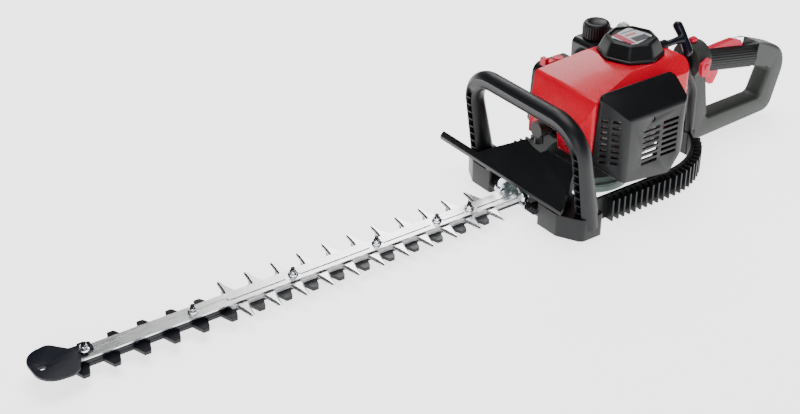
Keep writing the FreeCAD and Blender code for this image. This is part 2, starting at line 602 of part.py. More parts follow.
head_x = "crank_x - crankcase_radius - fin_pitch * fin_count - head_thick"
piston_far = "crank_x - crankcase_radius - fin_pitch * fin_count + 1"
barrel = rod("0", "engine_z", head_x, "crank_x - crankcase_radius + 4", mouth_radius, "x")
bore = rod("0", "engine_z", f"{head_x} + head_thick", "crank_x", "bore_radius", "x")
fins = [rod("0", "engine_z", f"{head_x} + {n} * fin_pitch + 3", f"{head_x} + {n} * fin_pitch + 3 + fin_thick",
            "fin_radius", "x") for n in range(int(value("fin_count")))]
plug_hole = rod("0", "engine_z", f"{head_x} - 1", f"{head_x} + head_thick + 1", "5", "x")
cylinder = node(cut(fuse(barrel, *fins), bore, plug_hole), "cylinder")

crown = f"{piston_far} + 3"
piston_solid = rod("0", "engine_z", crown, f"{crown} + piston_length", "bore_radius - bore_gap", "x")
piston_hollow = rod("0", "engine_z", f"{crown} + 5", f"{crown} + piston_length + 1", "bore_radius - 3", "x")
piston = node(cut(piston_solid, piston_hollow), "piston")
pin_x = f"{crown} + 14"
wrist_pin = node(rod(pin_x, "engine_z", "3.2 - bore_radius", "bore_radius - 3.2", "3", "y"), "wrist_pin")
crank_pin_x = "crank_x - crank_offset"
rod_half = "(web_gap / 2 - 0.6)"
beam = box(pin_x, crank_pin_x, "0 - 4", "4", f"engine_z - {rod_half}", f"engine_z + {rod_half}")
big_end = rod(crank_pin_x, "0", f"engine_z - {rod_half}", f"engine_z + {rod_half}", "8")
small_end = rod(pin_x, "engine_z", "0 - 4", "4", "6", "y")
small_end_flat = box(f"{pin_x} - 7", f"{pin_x} + 7", "0 - 5", "5", f"engine_z - {rod_half}",
                     f"engine_z + {rod_half}")
crank_pin = rod(crank_pin_x, "0", "engine_z - web_gap / 2 - 2.4", "engine_z + web_gap / 2 + 2.4",
                "pin_radius")
connecting_rod = node(cut(fuse(beam, big_end, common(small_end, small_end_flat), crank_pin),
                          rod(pin_x, "engine_z", "0 - 6", "6", "3", "y")), "connecting_rod")

fan_hub = rod("crank_x", "0", "fan_low", "fan_low + fan_plate + 6", "crank_radius + 7")
fan_disc = rod("crank_x", "0", "fan_low", "fan_low + fan_plate", "fan_radius")
vanes = []
FAN_BLADES = int(value("fan_blades"))
for number in range(FAN_BLADES):
    vane = box("0 - fan_radius + 1", "0 - fan_radius + 20", "0 - 1", "1", "0", "fan_blade_high")
    turn = doc.addObject("Part::Compound", "vane")
    turn.Links = [vane]
    turn.Placement.Rotation = FreeCAD.Rotation(FreeCAD.Vector(0, 0, 1), 360 / FAN_BLADES * number)
    vanes.append(place(turn, "crank_x", "0", "fan_low + fan_plate - 0.5"))
flywheel_fan = node(cut(fuse(fan_disc, fan_hub, *vanes),
                        rod("crank_x", "0", "fan_low - 1", "fan_low + fan_plate + 7", "crank_radius")),
                    "flywheel_fan")


# ---- Electrical, exhaust and intake -------------------------------------------------------------------

coil_core = box("crank_x - 12", "crank_x + 12", "fan_radius + 1", "fan_radius + 9", "fan_low - 2",
                "fan_low + 10")
coil_body = box("crank_x - 9", "crank_x + 9", "fan_radius + 2", "hood_half - hood_wall - 8",
                "fan_low - 6", "fan_low + 14")
ignition_coil = node(fuse(coil_core, coil_body), "ignition_coil")

plug_tip = f"{head_x} - 22"
spark_plug = node(fuse(rod("0", "engine_z", head_x, f"{head_x} + head_thick", "5", "x"),
                       rod("0", "engine_z", f"{head_x} - 6", head_x, "9", "x"),
                       rod("0", "engine_z", plug_tip, f"{head_x} - 6", "4.5", "x")), "spark_plug")
cap_front = f"{head_x} - 52"
cap_solid = fuse(rod("0", "engine_z", f"{cap_front} + 10", f"{head_x} - 8", "8.5", "x"),
                 rod("0", "engine_z", cap_front, f"{cap_front} + 12", "10.5", "x"),
                 rod(f"{cap_front} + 6", "0", "engine_z - 19", "engine_z", "5.5"))
plug_cap = node(cut(cap_solid, rod("0", "engine_z", plug_tip, f"{head_x} - 7", "4.5", "x")), "plug_cap")

muffler_y = "0 - muffler_side + 12"
muffler_block = soften(box("crank_x - 86", "crank_x - 24", muffler_y, "0 - fin_radius - 7",
                           "engine_z - 28", "engine_z + 24"), "6", lambda edge: edge.Length > 20)
exhaust_flange = box("crank_x - 74", "crank_x - 50", "0 - fin_radius - 7", "0 - fin_radius - 0.2",
                     "engine_z - 12", "engine_z + 12")
muffler = node(fuse(muffler_block, exhaust_flange), "muffler")

carb_y = "fin_radius + 12"
insulator = box("crank_x - 69", "crank_x - 39", "fin_radius + 0.2", carb_y, "engine_z - 14", "engine_z + 14")
intake_insulator = node(cut(insulator, rod("crank_x - 54", "engine_z", "fin_radius - 1", f"{carb_y} + 1",
                                           "7", "y")), "intake_insulator")
carb_end = f"{carb_y} + 24"
carb_block = fuse(box("crank_x - 69", "crank_x - 37", carb_y, carb_end, "engine_z - 16", "engine_z + 16"),
                  rod("crank_x - 54", f"{carb_y} + 12", "engine_z - 24", "engine_z + 20", "9"))
carburettor = node(cut(carb_block, rod("crank_x - 54", "engine_z", f"{carb_y} - 1", f"{carb_end} + 1",
                                       "6", "y")), "carburettor")
filter_box = box("air_front + 13", "air_rear - 8", f"{carb_end} + 3", f"{carb_end} + 13",
                 "engine_z - 40", "engine_z + 18")
air_filter = node(filter_box, "air_filter")

air_corners = [("air_front", "air_low + 20", "8"), ("air_front + 16", "air_low", "8"),
               ("air_rear", "air_low", "8"), ("air_rear", "air_top", "12"),
               ("air_front + 6", "air_top", "14")]


def slab(name, corners, y0, y1):
    """An outline in X and Z that runs from y0 to y1."""
    body = new_body(name)
    sketch = draw_outline(new_sketch(body, "XZ_Plane", f"0 - ({y1})"), corners)
    pad(body, sketch, f"({y1}) - ({y0})")
    return body


def ends_slab(name, corners, x0, x1):
    """An outline in Y and Z that runs from x0 to x1."""
    body = new_body(name)
    sketch = draw_outline(new_sketch(body, "YZ_Plane", x0), corners)
    pad(body, sketch, f"({x1}) - ({x0})")
    return body


def shrunk(corners, inward, middle_x, middle_y):
    """The corners moved inward by a wall towards a middle point, for the inside of a moulding."""
    moved = []
    for x, y, radius in corners:
        step_x = f"- ({inward})" if value(x) > value(middle_x) else f"+ ({inward})"
        step_y = f"- ({inward})" if value(y) > value(middle_y) else f"+ ({inward})"
        less = f"({radius}) - ({inward}) / 2" if value(radius) > value(inward) else "0.5"
        moved.append((f"({x}) {step_x}", f"({y}) {step_y}", less))
    return moved


cover_in = "air_rear - 30"
air_outer = slab("air_outer", air_corners, "hood_half + cover_gap", "air_side")
air_inner = slab("air_inner", shrunk(air_corners, "hood_wall", cover_in, "engine_z - 20"),
                 "hood_half", "air_side - hood_wall")
air_cleaner_cover = node(cut(air_outer, air_inner), "air_cleaner_cover")

choke_x, choke_y = "air_front + 34", "hood_half + 24"
choke_arm = box(f"{choke_x} - 26", choke_x, f"{choke_y} - 4", f"{choke_y} + 4", "air_top + 0.6",
                "air_top + 4.6")
choke_tab = box(f"{choke_x} - 26", f"{choke_x} - 20", f"{choke_y} - 5", f"{choke_y} + 5", "air_top + 0.6",
                "air_top + 11")
choke_lever = node(fuse(choke_arm, choke_tab, rod(choke_x, choke_y, "air_top + 0.6", "air_top + 6", "7")),
                   "choke_lever")

tank_corners = [("tank_front", "tank_low", "8"), ("tank_rear", "tank_low", "14"),
                ("tank_rear", "tank_top", "10"), ("tank_front", "tank_top", "8")]
tank_outer = slab("tank_outer", tank_corners, "hood_half + cover_gap", "tank_side")
tank_inner = slab("tank_inner", shrunk(tank_corners, "tank_wall", "tank_front + 20", "tank_low + 20"),
                  "hood_half + cover_gap + tank_wall", "tank_side - tank_wall")
cap_x = "tank_front + 24"
cap_y = "(hood_half + cover_gap + tank_side) / 2"
neck_radius = "cap_radius - 5"
filler = rod(cap_x, cap_y, "tank_top - 1", "tank_top + 8", neck_radius)
filler_bore = rod(cap_x, cap_y, "tank_top - tank_wall - 1", "tank_top + 9", f"{neck_radius} - 2")
fuel_tank = node(cut(fuse(tank_outer, filler), tank_inner, filler_bore), "fuel_tank")
cap_low = "tank_top + 0.6"
cap_block = rod(cap_x, cap_y, cap_low, f"{cap_low} + cap_high", "cap_radius")
cap_room = rod(cap_x, cap_y, f"{cap_low} - 1", "tank_top + 9", f"{neck_radius} + 0.4")
fuel_cap = node(cut(cap_block, cap_room), "fuel_cap")

# ---- Red hood and black covers ------------------------------------------------------------------------

hood_side = [("hood_front + 4", "hood_low", "3"), ("hood_front", "hood_low + 32", "12"),
             ("hood_front + 20", "hood_nose + 2.5", "10"), ("hood_front + 92", "hood_top", "24"),
             ("hood_rear", "hood_top", "6"), ("hood_rear", "hood_low", "3")]
hood_plan = [("hood_front", "0 - hood_half + 16", "8"), ("hood_front + 18", "0 - hood_half", "8"),
             ("hood_rear", "0 - hood_half", "10"), ("hood_rear", "hood_half", "10"),
             ("hood_front + hood_nose_long", "hood_half", "8"),
             ("hood_front", "hood_half - hood_nose_inset", "8")]
hood_end = [("0 - hood_half", "hood_low - 1", "0"), ("hood_half", "hood_low - 1", "0"),
            ("hood_half", "hood_top - hood_chamfer_far", "5"),
            ("hood_half - hood_chamfer_far", "hood_top", "5"),
            ("0 - hood_half + hood_chamfer", "hood_top", "5"),
            ("0 - hood_half", "hood_top - hood_chamfer", "5")]


def hood_block(name, inward):
    tall = slab(f"{name}_side", shrunk(hood_side, inward, "crank_x - 40", "hood_low + 50"),
                f"0 - hood_half + ({inward})", f"hood_half - ({inward})")
    wide = plate(f"{name}_plan", shrunk(hood_plan, inward, "crank_x - 40", "0"), "hood_low - 1",
                 "hood_top + 1")
    across = ends_slab(f"{name}_end", shrunk(hood_end, inward, "0", "hood_low + 50"), "hood_front - 1",
                       "hood_rear + 1")
    return common(common(tall, wide), across)


hood_floor = box("hood_front - 1", "hood_rear + 1", "0 - hood_half - 1", "hood_half + 1",
                 "hood_low - 2", "hood_low + hood_wall + 1")
starter_hole = rod("crank_x", "0", "hood_nose", "hood_top + 1", "starter_radius + cover_gap")
plug_window = box("hood_front - 1", "hood_front + 24", "0 - 15", "15", "hood_low", "engine_z + 16")
near_window = box("muffler_front + 14", "muffler_rear - 6", "0 - hood_half - 1", "0 - hood_half + 4",
                  "hood_low", "muffler_top - 14")
far_window = box("air_front + 4", "hood_rear - 8", "hood_half - 4", "hood_half + 1", "hood_low",
                 "air_top - 6")
rope_slot = box("crank_x + starter_radius - 4", "hood_rear + 1", "rope_y - guide_radius - cover_gap",
                "rope_y + guide_radius + cover_gap", "rope_z - guide_radius - cover_gap", "hood_top + 1")
hood_shell = cut(hood_block("hood_outer", "0"), hood_block("hood_inner", "hood_wall"), hood_floor,
                 starter_hole, plug_window, near_window, far_window, rope_slot)
pedestal = cut(rod("primer_x", "primer_y - 14", "hood_top - hood_chamfer_far", "hood_top",
                   "primer_radius + 3"),
               rod("crank_x", "0", "fan_low", "hood_top - 14", "fan_radius + 2"),
               rod("crank_x", "0", "fan_low", "hood_top + 1", "starter_radius + cover_gap"))
engine_hood = node(fuse(hood_shell, pedestal), "engine_hood")

muffler_side_view = [("muffler_front", "muffler_low + 24", "8"),
                     ("muffler_front + 24", "muffler_low + 4", "10"),
                     ("muffler_rear - 24", "muffler_low - 5", "8"),
                     ("muffler_rear", "muffler_low + 28", "10"),
                     ("muffler_rear", "muffler_top", "8"), ("muffler_front + 6", "muffler_top", "8")]
inner_y = "0 - hood_half - cover_gap"
muffler_plan = [("muffler_front", inner_y, "0"), ("muffler_front + 26", "0 - muffler_side", "9"),
                ("muffler_rear", "0 - muffler_side", "10"), ("muffler_rear", inner_y, "0")]
muffler_end = [("0 - muffler_side", "muffler_low - 6", "0"), (inner_y, "muffler_low - 6", "0"),
               (inner_y, "muffler_top + 1", "0"), ("0 - muffler_side", "muffler_crease", "10")]


def muffler_block_of(name, inward):
    side = slab(f"{name}_side", shrunk(muffler_side_view, inward, "crank_x - 48", "engine_z"),
                "0 - muffler_side - 1", inner_y if inward == "0" else f"{inner_y} + 1")
    plan_corners = muffler_plan
    end_corners = muffler_end
    if inward != "0":
        plan_corners = shrunk(muffler_plan, inward, "crank_x - 48", inner_y)
        plan_corners[0] = (plan_corners[0][0], f"{inner_y} + 1", "0")
        plan_corners[3] = (plan_corners[3][0], f"{inner_y} + 1", "0")
        end_corners = [(f"0 - muffler_side + ({inward})", "muffler_low - 6", "0"),
                       (f"{inner_y} + 1", "muffler_low - 6", "0"),
                       (f"{inner_y} + 1", f"muffler_top - ({inward})", "0"),
                       (f"0 - muffler_side + ({inward})", f"muffler_crease - ({inward}) / 2", "8")]
    plan = plate(f"{name}_plan", plan_corners, "muffler_low - 7", "muffler_top + 2")
    end = ends_slab(f"{name}_end", end_corners, "muffler_front - 1", "muffler_rear + 1")
    return common(common(side, plan), end)


slots = []
SLOT_ROWS = 7
for column, start in enumerate(("muffler_front + 52", "muffler_front + 84")):
    for row in range(SLOT_ROWS):
        slots.append(box(start, f"{start} + 26", "0 - muffler_side - 1", "0 - muffler_side + hood_wall + 1",
                         f"muffler_low + 20 + 7.5 * {row} + 3 * {column}",
                         f"muffler_low + 24 + 7.5 * {row} + 3 * {column}"))
FRONT_SLOT_ROWS = 8
FRONT_SLOT_COLUMNS = [("0 - hood_half - 14", "0 - hood_half - 7"),
                      ("0 - hood_half - 26", "0 - hood_half - 18")]
for near, far in FRONT_SLOT_COLUMNS:
    for row in range(FRONT_SLOT_ROWS):
        slots.append(box("muffler_front - 1", "muffler_front + 26", near, far,
                         f"muffler_low + 27 + 8 * {row}", f"muffler_low + 31 + 8 * {row}"))
slots.append(rod("muffler_front + 66", "muffler_low + 80", "0 - muffler_side - 1",
                 "0 - muffler_side + hood_wall + 1", "3.5", "y"))
muffler_cover = node(cut(muffler_block_of("cover_outer", "0"), muffler_block_of("cover_inner", "hood_wall"),
                         *slots), "muffler_cover")

starter_outer = cone("crank_x", "0", "starter_base", "starter_top", "starter_radius", "starter_top_radius")
starter_inner = cone("crank_x", "0", "starter_base", "starter_top - starter_wall",
                     "starter_radius - starter_wall", "starter_top_radius - starter_wall")
starter_open = rod("crank_x", "0", "starter_base - 1", "starter_base", "starter_radius")
post = rod("crank_x", "0", "reel_low - 1", "starter_top - 1", "4")
guide_start = "crank_x + starter_radius - 5"
rope_guide = rod("rope_y", "rope_z", guide_start, f"{guide_start} + 16", "guide_radius", "x")
guide_bore = rod("rope_y", "rope_z", f"{guide_start} - 8", f"{guide_start} + 17", "rope_radius + 0.8", "x")
vents = []
VENT_COUNT = 9
for number in range(VENT_COUNT):
    vent = box("starter_top_radius - 3", "starter_radius + 2", "0 - 2", "2", "0",
               "starter_top - starter_base - 17")
    turn = doc.addObject("Part::Compound", "vent")
    turn.Links = [vent]
    turn.Placement.Rotation = FreeCAD.Rotation(FreeCAD.Vector(0, 0, 1), 60 + 240 / (VENT_COUNT - 1) * number)
    vents.append(place(turn, "crank_x", "0", "starter_base + 11"))
starter_cover = node(cut(fuse(cut(starter_outer, starter_inner), post, rope_guide), guide_bore, *vents),
                     "starter_cover")
label_corners = [("0 - label_long / 2", "0 - label_wide / 2", "4"),
                 ("label_long / 2", "0 - label_wide / 2", "4"),
                 ("label_long / 2", "label_wide / 2", "4"),
                 ("0 - label_long / 2", "label_wide / 2", "4")]
label_turned = doc.addObject("Part::Compound", "label_turned")
label_turned.Links = [plate("label", label_corners, "starter_top", "starter_top + label_thick")]
label_turned.Placement.Rotation = FreeCAD.Rotation(FreeCAD.Vector(0, 0, 1), value("label_turn"))
label_plate = node(place(label_turned, "crank_x", "0"), "label_plate")

reel_disc = rod("crank_x", "0", "reel_low", reel_top, "reel_radius")
reel_groove = cut(rod("crank_x", "0", "reel_low + 2", f"{reel_top} - 2", "reel_radius + 1"),
                  rod("crank_x", "0", "reel_low", reel_top, "reel_radius - 5"))
reel_bore = rod("crank_x", "0", "reel_low - 1", f"{reel_top} + 1", "4 + running_gap")
starter_reel = node(cut(reel_disc, reel_groove, reel_bore), "starter_reel")
spring_low = f"{reel_top} + 0.8"
recoil_spring = node(cut(rod("crank_x", "0", spring_low, f"{spring_low} + 6", "reel_radius - 4"),
                         rod("crank_x", "0", f"{spring_low} - 1", f"{spring_low} + 7", "4.2")),
                     "recoil_spring")

starter_rope = node(rod("rope_y", "rope_z", "crank_x + reel_radius + 1", "rope_end - 0.3",
                        "rope_radius", "x"), "starter_rope")
pull_bar = rod("0", "0", "0 - pull_long / 2", "pull_long / 2", "pull_radius")
pull_turn = doc.addObject("Part::Compound", "pull_bar")
pull_turn.Links = [pull_bar]
pull_turn.Placement.Rotation = FreeCAD.Rotation(FreeCAD.Vector(1, 0, 0), -value("pull_tilt"))
place(pull_turn, "pull_x", "rope_y", "rope_z")
pull_stem = cone("rope_y", "rope_z", "rope_end", "pull_x", "4", "6", "x")
starter_handle = node(fuse(pull_turn, pull_stem), "starter_handle")

primer_low = "hood_top"
primer_base = node(cut(rod("primer_x", "primer_y - 14", primer_low, f"{primer_low} + 5", "primer_radius + 3"),
                       rod("primer_x", "primer_y - 14", f"{primer_low} + 1", f"{primer_low} + 6",
                           "primer_radius + 0.5")), "primer_base")
dome = doc.addObject("Part::Sphere", "dome")
bind(dome, Radius="primer_radius")
place(dome, "primer_x", "primer_y - 14", f"{primer_low} + 1 + primer_travel + 0.4")
dome_trim = box("primer_x - 20", "primer_x + 20", "primer_y - 40", "primer_y + 20", f"{primer_low} - 20",
                f"{primer_low} + 1 + primer_travel + 0.4")
primer_bulb = node(cut(dome, dome_trim), "primer_bulb")

housing_screws = node(group(*case_screw_heads), "housing_screws")


# ---- Front bracket, spring mounts, hand guard and loop handle -----------------------------------------

def lobe_outline(side):
    inner, outer = f"{side} bracket_gap_half", f"{side} bracket_half"
    corners = [("bracket_front", inner, "4"), ("bracket_rear", inner, "2"), ("bracket_rear", outer, "6"),
               ("bracket_front + 16", outer, "10"), ("bracket_front", f"{side} (bracket_half - 30)", "8")]
    return corners if side == "0 +" else corners[::-1]


lobes = [plate("lobe", lobe_outline(side), "stand_z", "bracket_top") for side in ("0 +", "0 -")]
web = box("bracket_front + 12", "bracket_rear", "0 - bracket_gap_half - 1", "bracket_gap_half + 1",
          "stand_z", "stand_z + 8")
front_bracket = node(fuse(lobes[0], lobes[1], web), "front_bracket")

yoke_blank = box("neck_front - 12", "neck_front", "0 - 30", "30", f"{GUARD_LOW} - 4", "bracket_top")
yoke_window = box("neck_front - 13", "neck_front + 1", "0 - blade_half - 1", "blade_half + 1",
                  f"{GUARD_LOW} - 0.4", f"{BAR_TOP} + rib_high + 0.6")
wishbone_yoke = node(cut(yoke_blank, yoke_window), "wishbone_yoke")
spring_x, spring_z = "neck_front - 5", "0 - 4"
mount_springs = node(group(rod(spring_x, spring_z, "30", "bracket_gap_half", "6", "y"),
                           rod(spring_x, spring_z, "0 - bracket_gap_half", "0 - 30", "6", "y")),
                     "mount_springs")

shield_strip = [("guard_front_x", "guard_front_z", "0"), ("guard_rear_x", "guard_rear_z", "0"),
                ("guard_rear_x", "guard_rear_z + 1.3 * shield_thick", "0"),
                ("guard_front_x", "guard_front_z + 1.3 * shield_thick", "0")]
wing_rear = "guard_front_x - 3 + guard_wing_deep"
shield_plan = [("guard_front_x - 3", "0 - guard_near", "5"), ("guard_rear_x + 2", "0 - guard_rear_half", "6"),
               ("guard_rear_x + 3", "0 - guard_rear_half + 44", "3"),
               ("guard_rear_x - 5", "0 - guard_rear_half + 57", "2"),
               ("guard_rear_x - 4", "0 - guard_rear_half + 73", "2"), ("guard_rear_x - 1", "10", "4"),
               ("guard_front_x + 16", "49", "4"), (wing_rear, "68", "6"), (wing_rear, "guard_wing", "2"),
               ("guard_front_x - 3", "guard_wing", "2")]
shield = common(slab("shield_strip", shield_strip, "0 - guard_near - 1", "guard_wing + 1"),
                plate("shield_plan", shield_plan, "0", "guard_rear_z + 20"))
loop_notch = box("guard_front_x + 14", "guard_rear_x + 20", "0 - loop_half - tube_radius - 1",
                 "0 - loop_half + tube_radius + 1", "0", "guard_rear_z + 20")
near_post = box("bracket_front + 18", "bracket_front + 28", "0 - bracket_gap_half - 14 - shield_post",
                "0 - bracket_gap_half - 14", "bracket_top", "guard_front_z + 34")
far_post = box("bracket_front", "bracket_front + 6", "bracket_gap_half + 1",
               "bracket_gap_half + 1 + shield_post / 2", "bracket_top", "guard_front_z + 14")
hand_guard = node(fuse(cut(shield, loop_notch), near_post, far_post), "hand_guard")

loop_body = new_body("loop")
loop_path = draw_outline(new_sketch(loop_body, "YZ_Plane"), [
    ("0 - loop_half", "0", "0"), ("0 - loop_half", "loop_top - bracket_top", "loop_corner"),
    ("loop_half", "loop_top - bracket_top", "loop_corner"), ("loop_half", "0", "0")], closed=False)
loop_ring = new_sketch(loop_body)
ring = loop_ring.addGeometry(Part.Circle(FreeCAD.Vector(0, 0 - value("loop_half"), 0),
                                         FreeCAD.Vector(0, 0, 1), value("tube_radius")))
dimension(loop_ring, "Radius", "tube_radius", ring)
dimension(loop_ring, "DistanceX", "0", -1, 1, ring, 3)
dimension(loop_ring, "DistanceY", "0 - loop_half", -1, 1, ring, 3)
tube = loop_body.newObject("PartDesign::AdditivePipe", "tube")
tube.Profile = loop_ring
tube.Spine = (loop_path, [])
loop_body.Tip = tube
lean = math.degrees(math.atan2(value("loop_lean"), value("loop_top - bracket_top")))
leaned = doc.addObject("Part::Compound", "leaned")
leaned.Links = [loop_body]
leaned.Placement.Rotation = FreeCAD.Rotation(FreeCAD.Vector(0, 1, 0), -lean)
place(leaned, "loop_foot_x", "0", "bracket_top - 4")
foot_trim = box("loop_foot_x - 40", "loop_foot_x + 40", "0 - 200", "200", "bracket_top - 30", "bracket_top")
front_handle = node(cut(leaned, foot_trim), "front_handle")


# ---- Ribbed side rail ------------------------------------------------------------------------------------

RAIL_TOP = "stand_z + rail_high"
rail_straight = box("bracket_rear", "rail_arc_start", "0 - rail_y", "0 - rail_y + rail_thick", "stand_z",
                    RAIL_TOP)
arc_y = "rail_arc_radius - rail_y"
arc_ring = cut(rod("rail_arc_start", arc_y, "stand_z", RAIL_TOP, "rail_arc_radius"),
               rod("rail_arc_start", arc_y, "stand_z - 1", f"{RAIL_TOP} + 1",
                   "rail_arc_radius - rail_thick"))
arc_end_x = "rail_arc_start + rail_arc_radius * sin(rail_turn * 1deg)"
arc_end_y = "rail_arc_radius - rail_y - rail_arc_radius * cos(rail_turn * 1deg)"
arc_keep = box("rail_arc_start", arc_end_x, "0 - rail_y - 1", arc_end_y, "stand_z - 2", f"{RAIL_TOP} + 2")
rail_arc = common(arc_ring, arc_keep)
rail_ribs = []
straight_ribs = int(value("(rail_arc_start - bracket_rear - 16) / rail_rib_pitch"))
for number in range(straight_ribs):
    x = f"rail_arc_start - {number} * rail_rib_pitch - 4"
    rail_ribs.append(box(x, f"{x} + rail_rib_thick", "0 - rail_y - rail_rib_deep", "0 - rail_y + 1",
                         "stand_z", f"{RAIL_TOP} - 3"))
rib_step = math.degrees(value("rail_rib_pitch / rail_arc_radius"))
for number in range(1, int(value("rail_turn") / rib_step)):
    rib = box("0 - rail_rib_thick / 2", "rail_rib_thick / 2", "0 - rail_arc_radius - rail_rib_deep",
              "0 - rail_arc_radius + 1", "stand_z", f"{RAIL_TOP} - 3")
    turn = doc.addObject("Part::Compound", "rib")
    turn.Links = [rib]
    turn.Placement.Rotation = FreeCAD.Rotation(FreeCAD.Vector(0, 0, 1), number * rib_step - 1)
    rail_ribs.append(place(turn, "rail_arc_start", arc_y, "0"))
near_rail = fuse(rail_straight, rail_arc, *rail_ribs)
cross_front = "handle_front - 14"
cross_piece = box(cross_front, "handle_front", f"({arc_end_y}) - 3", f"0 - ({arc_end_y}) + 3",
                  "stand_z", RAIL_TOP)
side_rail = node(fuse(near_rail, mirrored(near_rail), cross_piece), "side_rail")


# ---- Rear handle and its controls --------------------------------------------------------------------------

handle_outline = [("handle_front", "collar_z + 9", "4"), ("handle_front + 112", "collar_z", "40"),
                  ("handle_rear", "collar_z - 23", "32"), ("handle_rear", "collar_z - 54", "40"),
                  ("handle_rear - 18", "7 + handle_low", "20"),
                  ("handle_front", "handle_low", "3")]
window_outline = [("window_front - 1", "collar_z - 18", "3"), ("window_front + 100", "collar_z - 36", "10"),
                  ("window_rear + 2", "collar_z - 44", "8"),
                  ("window_rear - 14", "34 + handle_low", "8"), ("window_front + 12", "32 + handle_low", "6")]
handle_loop = plate("handle_loop", handle_outline, "0 - handle_half", "handle_half", "XZ_Plane", True)
window = plate("handle_window", window_outline, "0 - handle_half - 1", "handle_half + 1", "XZ_Plane", True)
GRIP_X, GRIP_Z = "window_front", "collar_z - grip_drop"


def along_grip(item):
    """Turns a piece drawn along the grip, which falls towards the rear, and puts it in place."""
    turned = doc.addObject("Part::Compound", "along_grip")
    turned.Links = [item]
    turned.Placement.Rotation = FreeCAD.Rotation(FreeCAD.Vector(0, 1, 0), value("grip_slope"))
    return place(turned, GRIP_X, "0", GRIP_Z)


def grip_plate(name, corners, half):
    """A plate in the grip's own upright plane, centred on the handle."""
    return along_grip(plate(name, corners, f"0 - ({half})", half, "XZ_Plane", True))


core_radius = "grip_radius - 4"
grip_room = along_grip(rod("0", "0", "1", "grip_long + 1", "grip_radius + 8", "x"))
core = along_grip(rod("0", "0", "0 - 6", "grip_long + 8", core_radius, "x"))
collar = rod("0", "collar_z", "collar_x", "collar_x + collar_long", "collar_radius", "x")
trigger_slot = grip_plate("trigger_slot", [("1.2", "0 - 30", "0"), ("40", "0 - 30", "0"),
                                           ("40", "0 - 3", "1"), ("1.2", "0 - 3", "1")], "5.6")
lever_slot = grip_plate("lever_slot", [("2", "3.4", "1"), ("80", "3.4", "1"), ("80", "30", "0"),
                                       ("2", "30", "0")], "4.6")
handle_solid = fuse(cut(handle_loop, window, grip_room), core, collar)
rear_handle = node(cut(handle_solid, trigger_slot, lever_slot), "rear_handle")
sleeve = along_grip(cut(rod("0", "0", "1.2", "grip_long", "grip_radius", "x"),
                        rod("0", "0", "0", "grip_long + 1", core_radius, "x")))
grip_sleeve = node(cut(sleeve, trigger_slot, lever_slot), "grip_sleeve")

trigger_corners = [("2", "0 - 7", "1"), ("10", "0 - 7", "1"), ("36", "0 - 13", "2"), ("38", "0 - 20", "2"),
                   ("33", "0 - 34", "3"), ("26", "0 - 35", "3"), ("2.4", "0 - 22", "2")]
trigger_pivot = along_grip(rod("6", "0 - 9.5", "0 - 5.4", "5.4", "pivot_radius", "y"))
throttle_trigger = node(fuse(grip_plate("trigger", trigger_corners, "5"), trigger_pivot), "throttle_trigger")
lever_corners = [("4", "9", "1"), ("42", "9.6", "10"), ("76", "9.6", "1"), ("78", "14", "2"),
                 ("70", "23.5", "4"), ("54", "26", "8"), ("28", "20", "8"), ("4", "14", "1")]
lever_pivot = along_grip(rod("8", "11.5", "0 - 4.4", "4.4", "pivot_radius - 0.3", "y"))
lockout_lever = node(fuse(grip_plate("lockout", lever_corners, "4"), lever_pivot), "lockout_lever")

limiter_y = "0 - collar_radius - 1"
limiter_x = "collar_x + 8"
limiter_plate = slab("limiter_plate", [(f"{limiter_x} - 9", "collar_z + 5", "3"),
                                       (f"{limiter_x} + 8", "collar_z + 13", "3"),
                                       (f"{limiter_x} + 5", "collar_z - 2", "4"),
                                       (f"{limiter_x} + 9", "collar_z - 16", "3"),
                                       (f"{limiter_x} - 8", "collar_z - 12", "4")],
                     f"{limiter_y} - 6", limiter_y)
limiter_button = rod(limiter_x, "collar_z", f"{limiter_y} - 7.5", f"{limiter_y} - 1",
                     "2 * pivot_radius - 1", "y")
throttle_limiter = node(fuse(limiter_plate, limiter_button), "throttle_limiter")
switch_low = "collar_z + collar_radius + 0.4"
stop_switch = node(soften(box("collar_x + 5", "collar_x + 15", "0 - 4", "4", switch_low,
                              f"{switch_low} + 6"), "2", upright), "stop_switch")

rear_mount = node(rod("0", "collar_z", "hood_rear", "collar_x", "mount_radius", "x"), "rear_mount")
sheath_body = new_body("sheath")
sheath_path = draw_outline(new_sketch(sheath_body, "XZ_Plane", "sheath_y"), [
    ("hood_rear", "collar_z + 10", "0"), ("hood_rear + 28", "collar_z + 7", "16"),
    ("hood_rear + 50", "collar_z - 32", "40"), ("hood_rear + 51", RAIL_TOP, "0")], closed=False)
sheath_ring = new_sketch(sheath_body, "YZ_Plane", "hood_rear")
circle = sheath_ring.addGeometry(Part.Circle(FreeCAD.Vector(0 - value("sheath_y"), value("collar_z + 10"), 0),
                                             FreeCAD.Vector(0, 0, 1), value("sheath_radius")))
dimension(sheath_ring, "Radius", "sheath_radius", circle)
dimension(sheath_ring, "DistanceX", "0 - sheath_y", -1, 1, circle, 3)
dimension(sheath_ring, "DistanceY", "collar_z + 10", -1, 1, circle, 3)
sheath = sheath_body.newObject("PartDesign::AdditivePipe", "sheath_tube")
sheath.Profile = sheath_ring
sheath.Spine = (sheath_path, [])
sheath_body.Tip = sheath
cable_sheath = node(common(sheath_body, box("hood_rear", "handle_front", "0 - sheath_y - sheath_radius - 1",
                                            "0 - sheath_y + sheath_radius + 1", RAIL_TOP,
                                            "collar_z + 40")), "cable_sheath")


# ---- Placing, checking and writing ---------------------------------------------------------------------

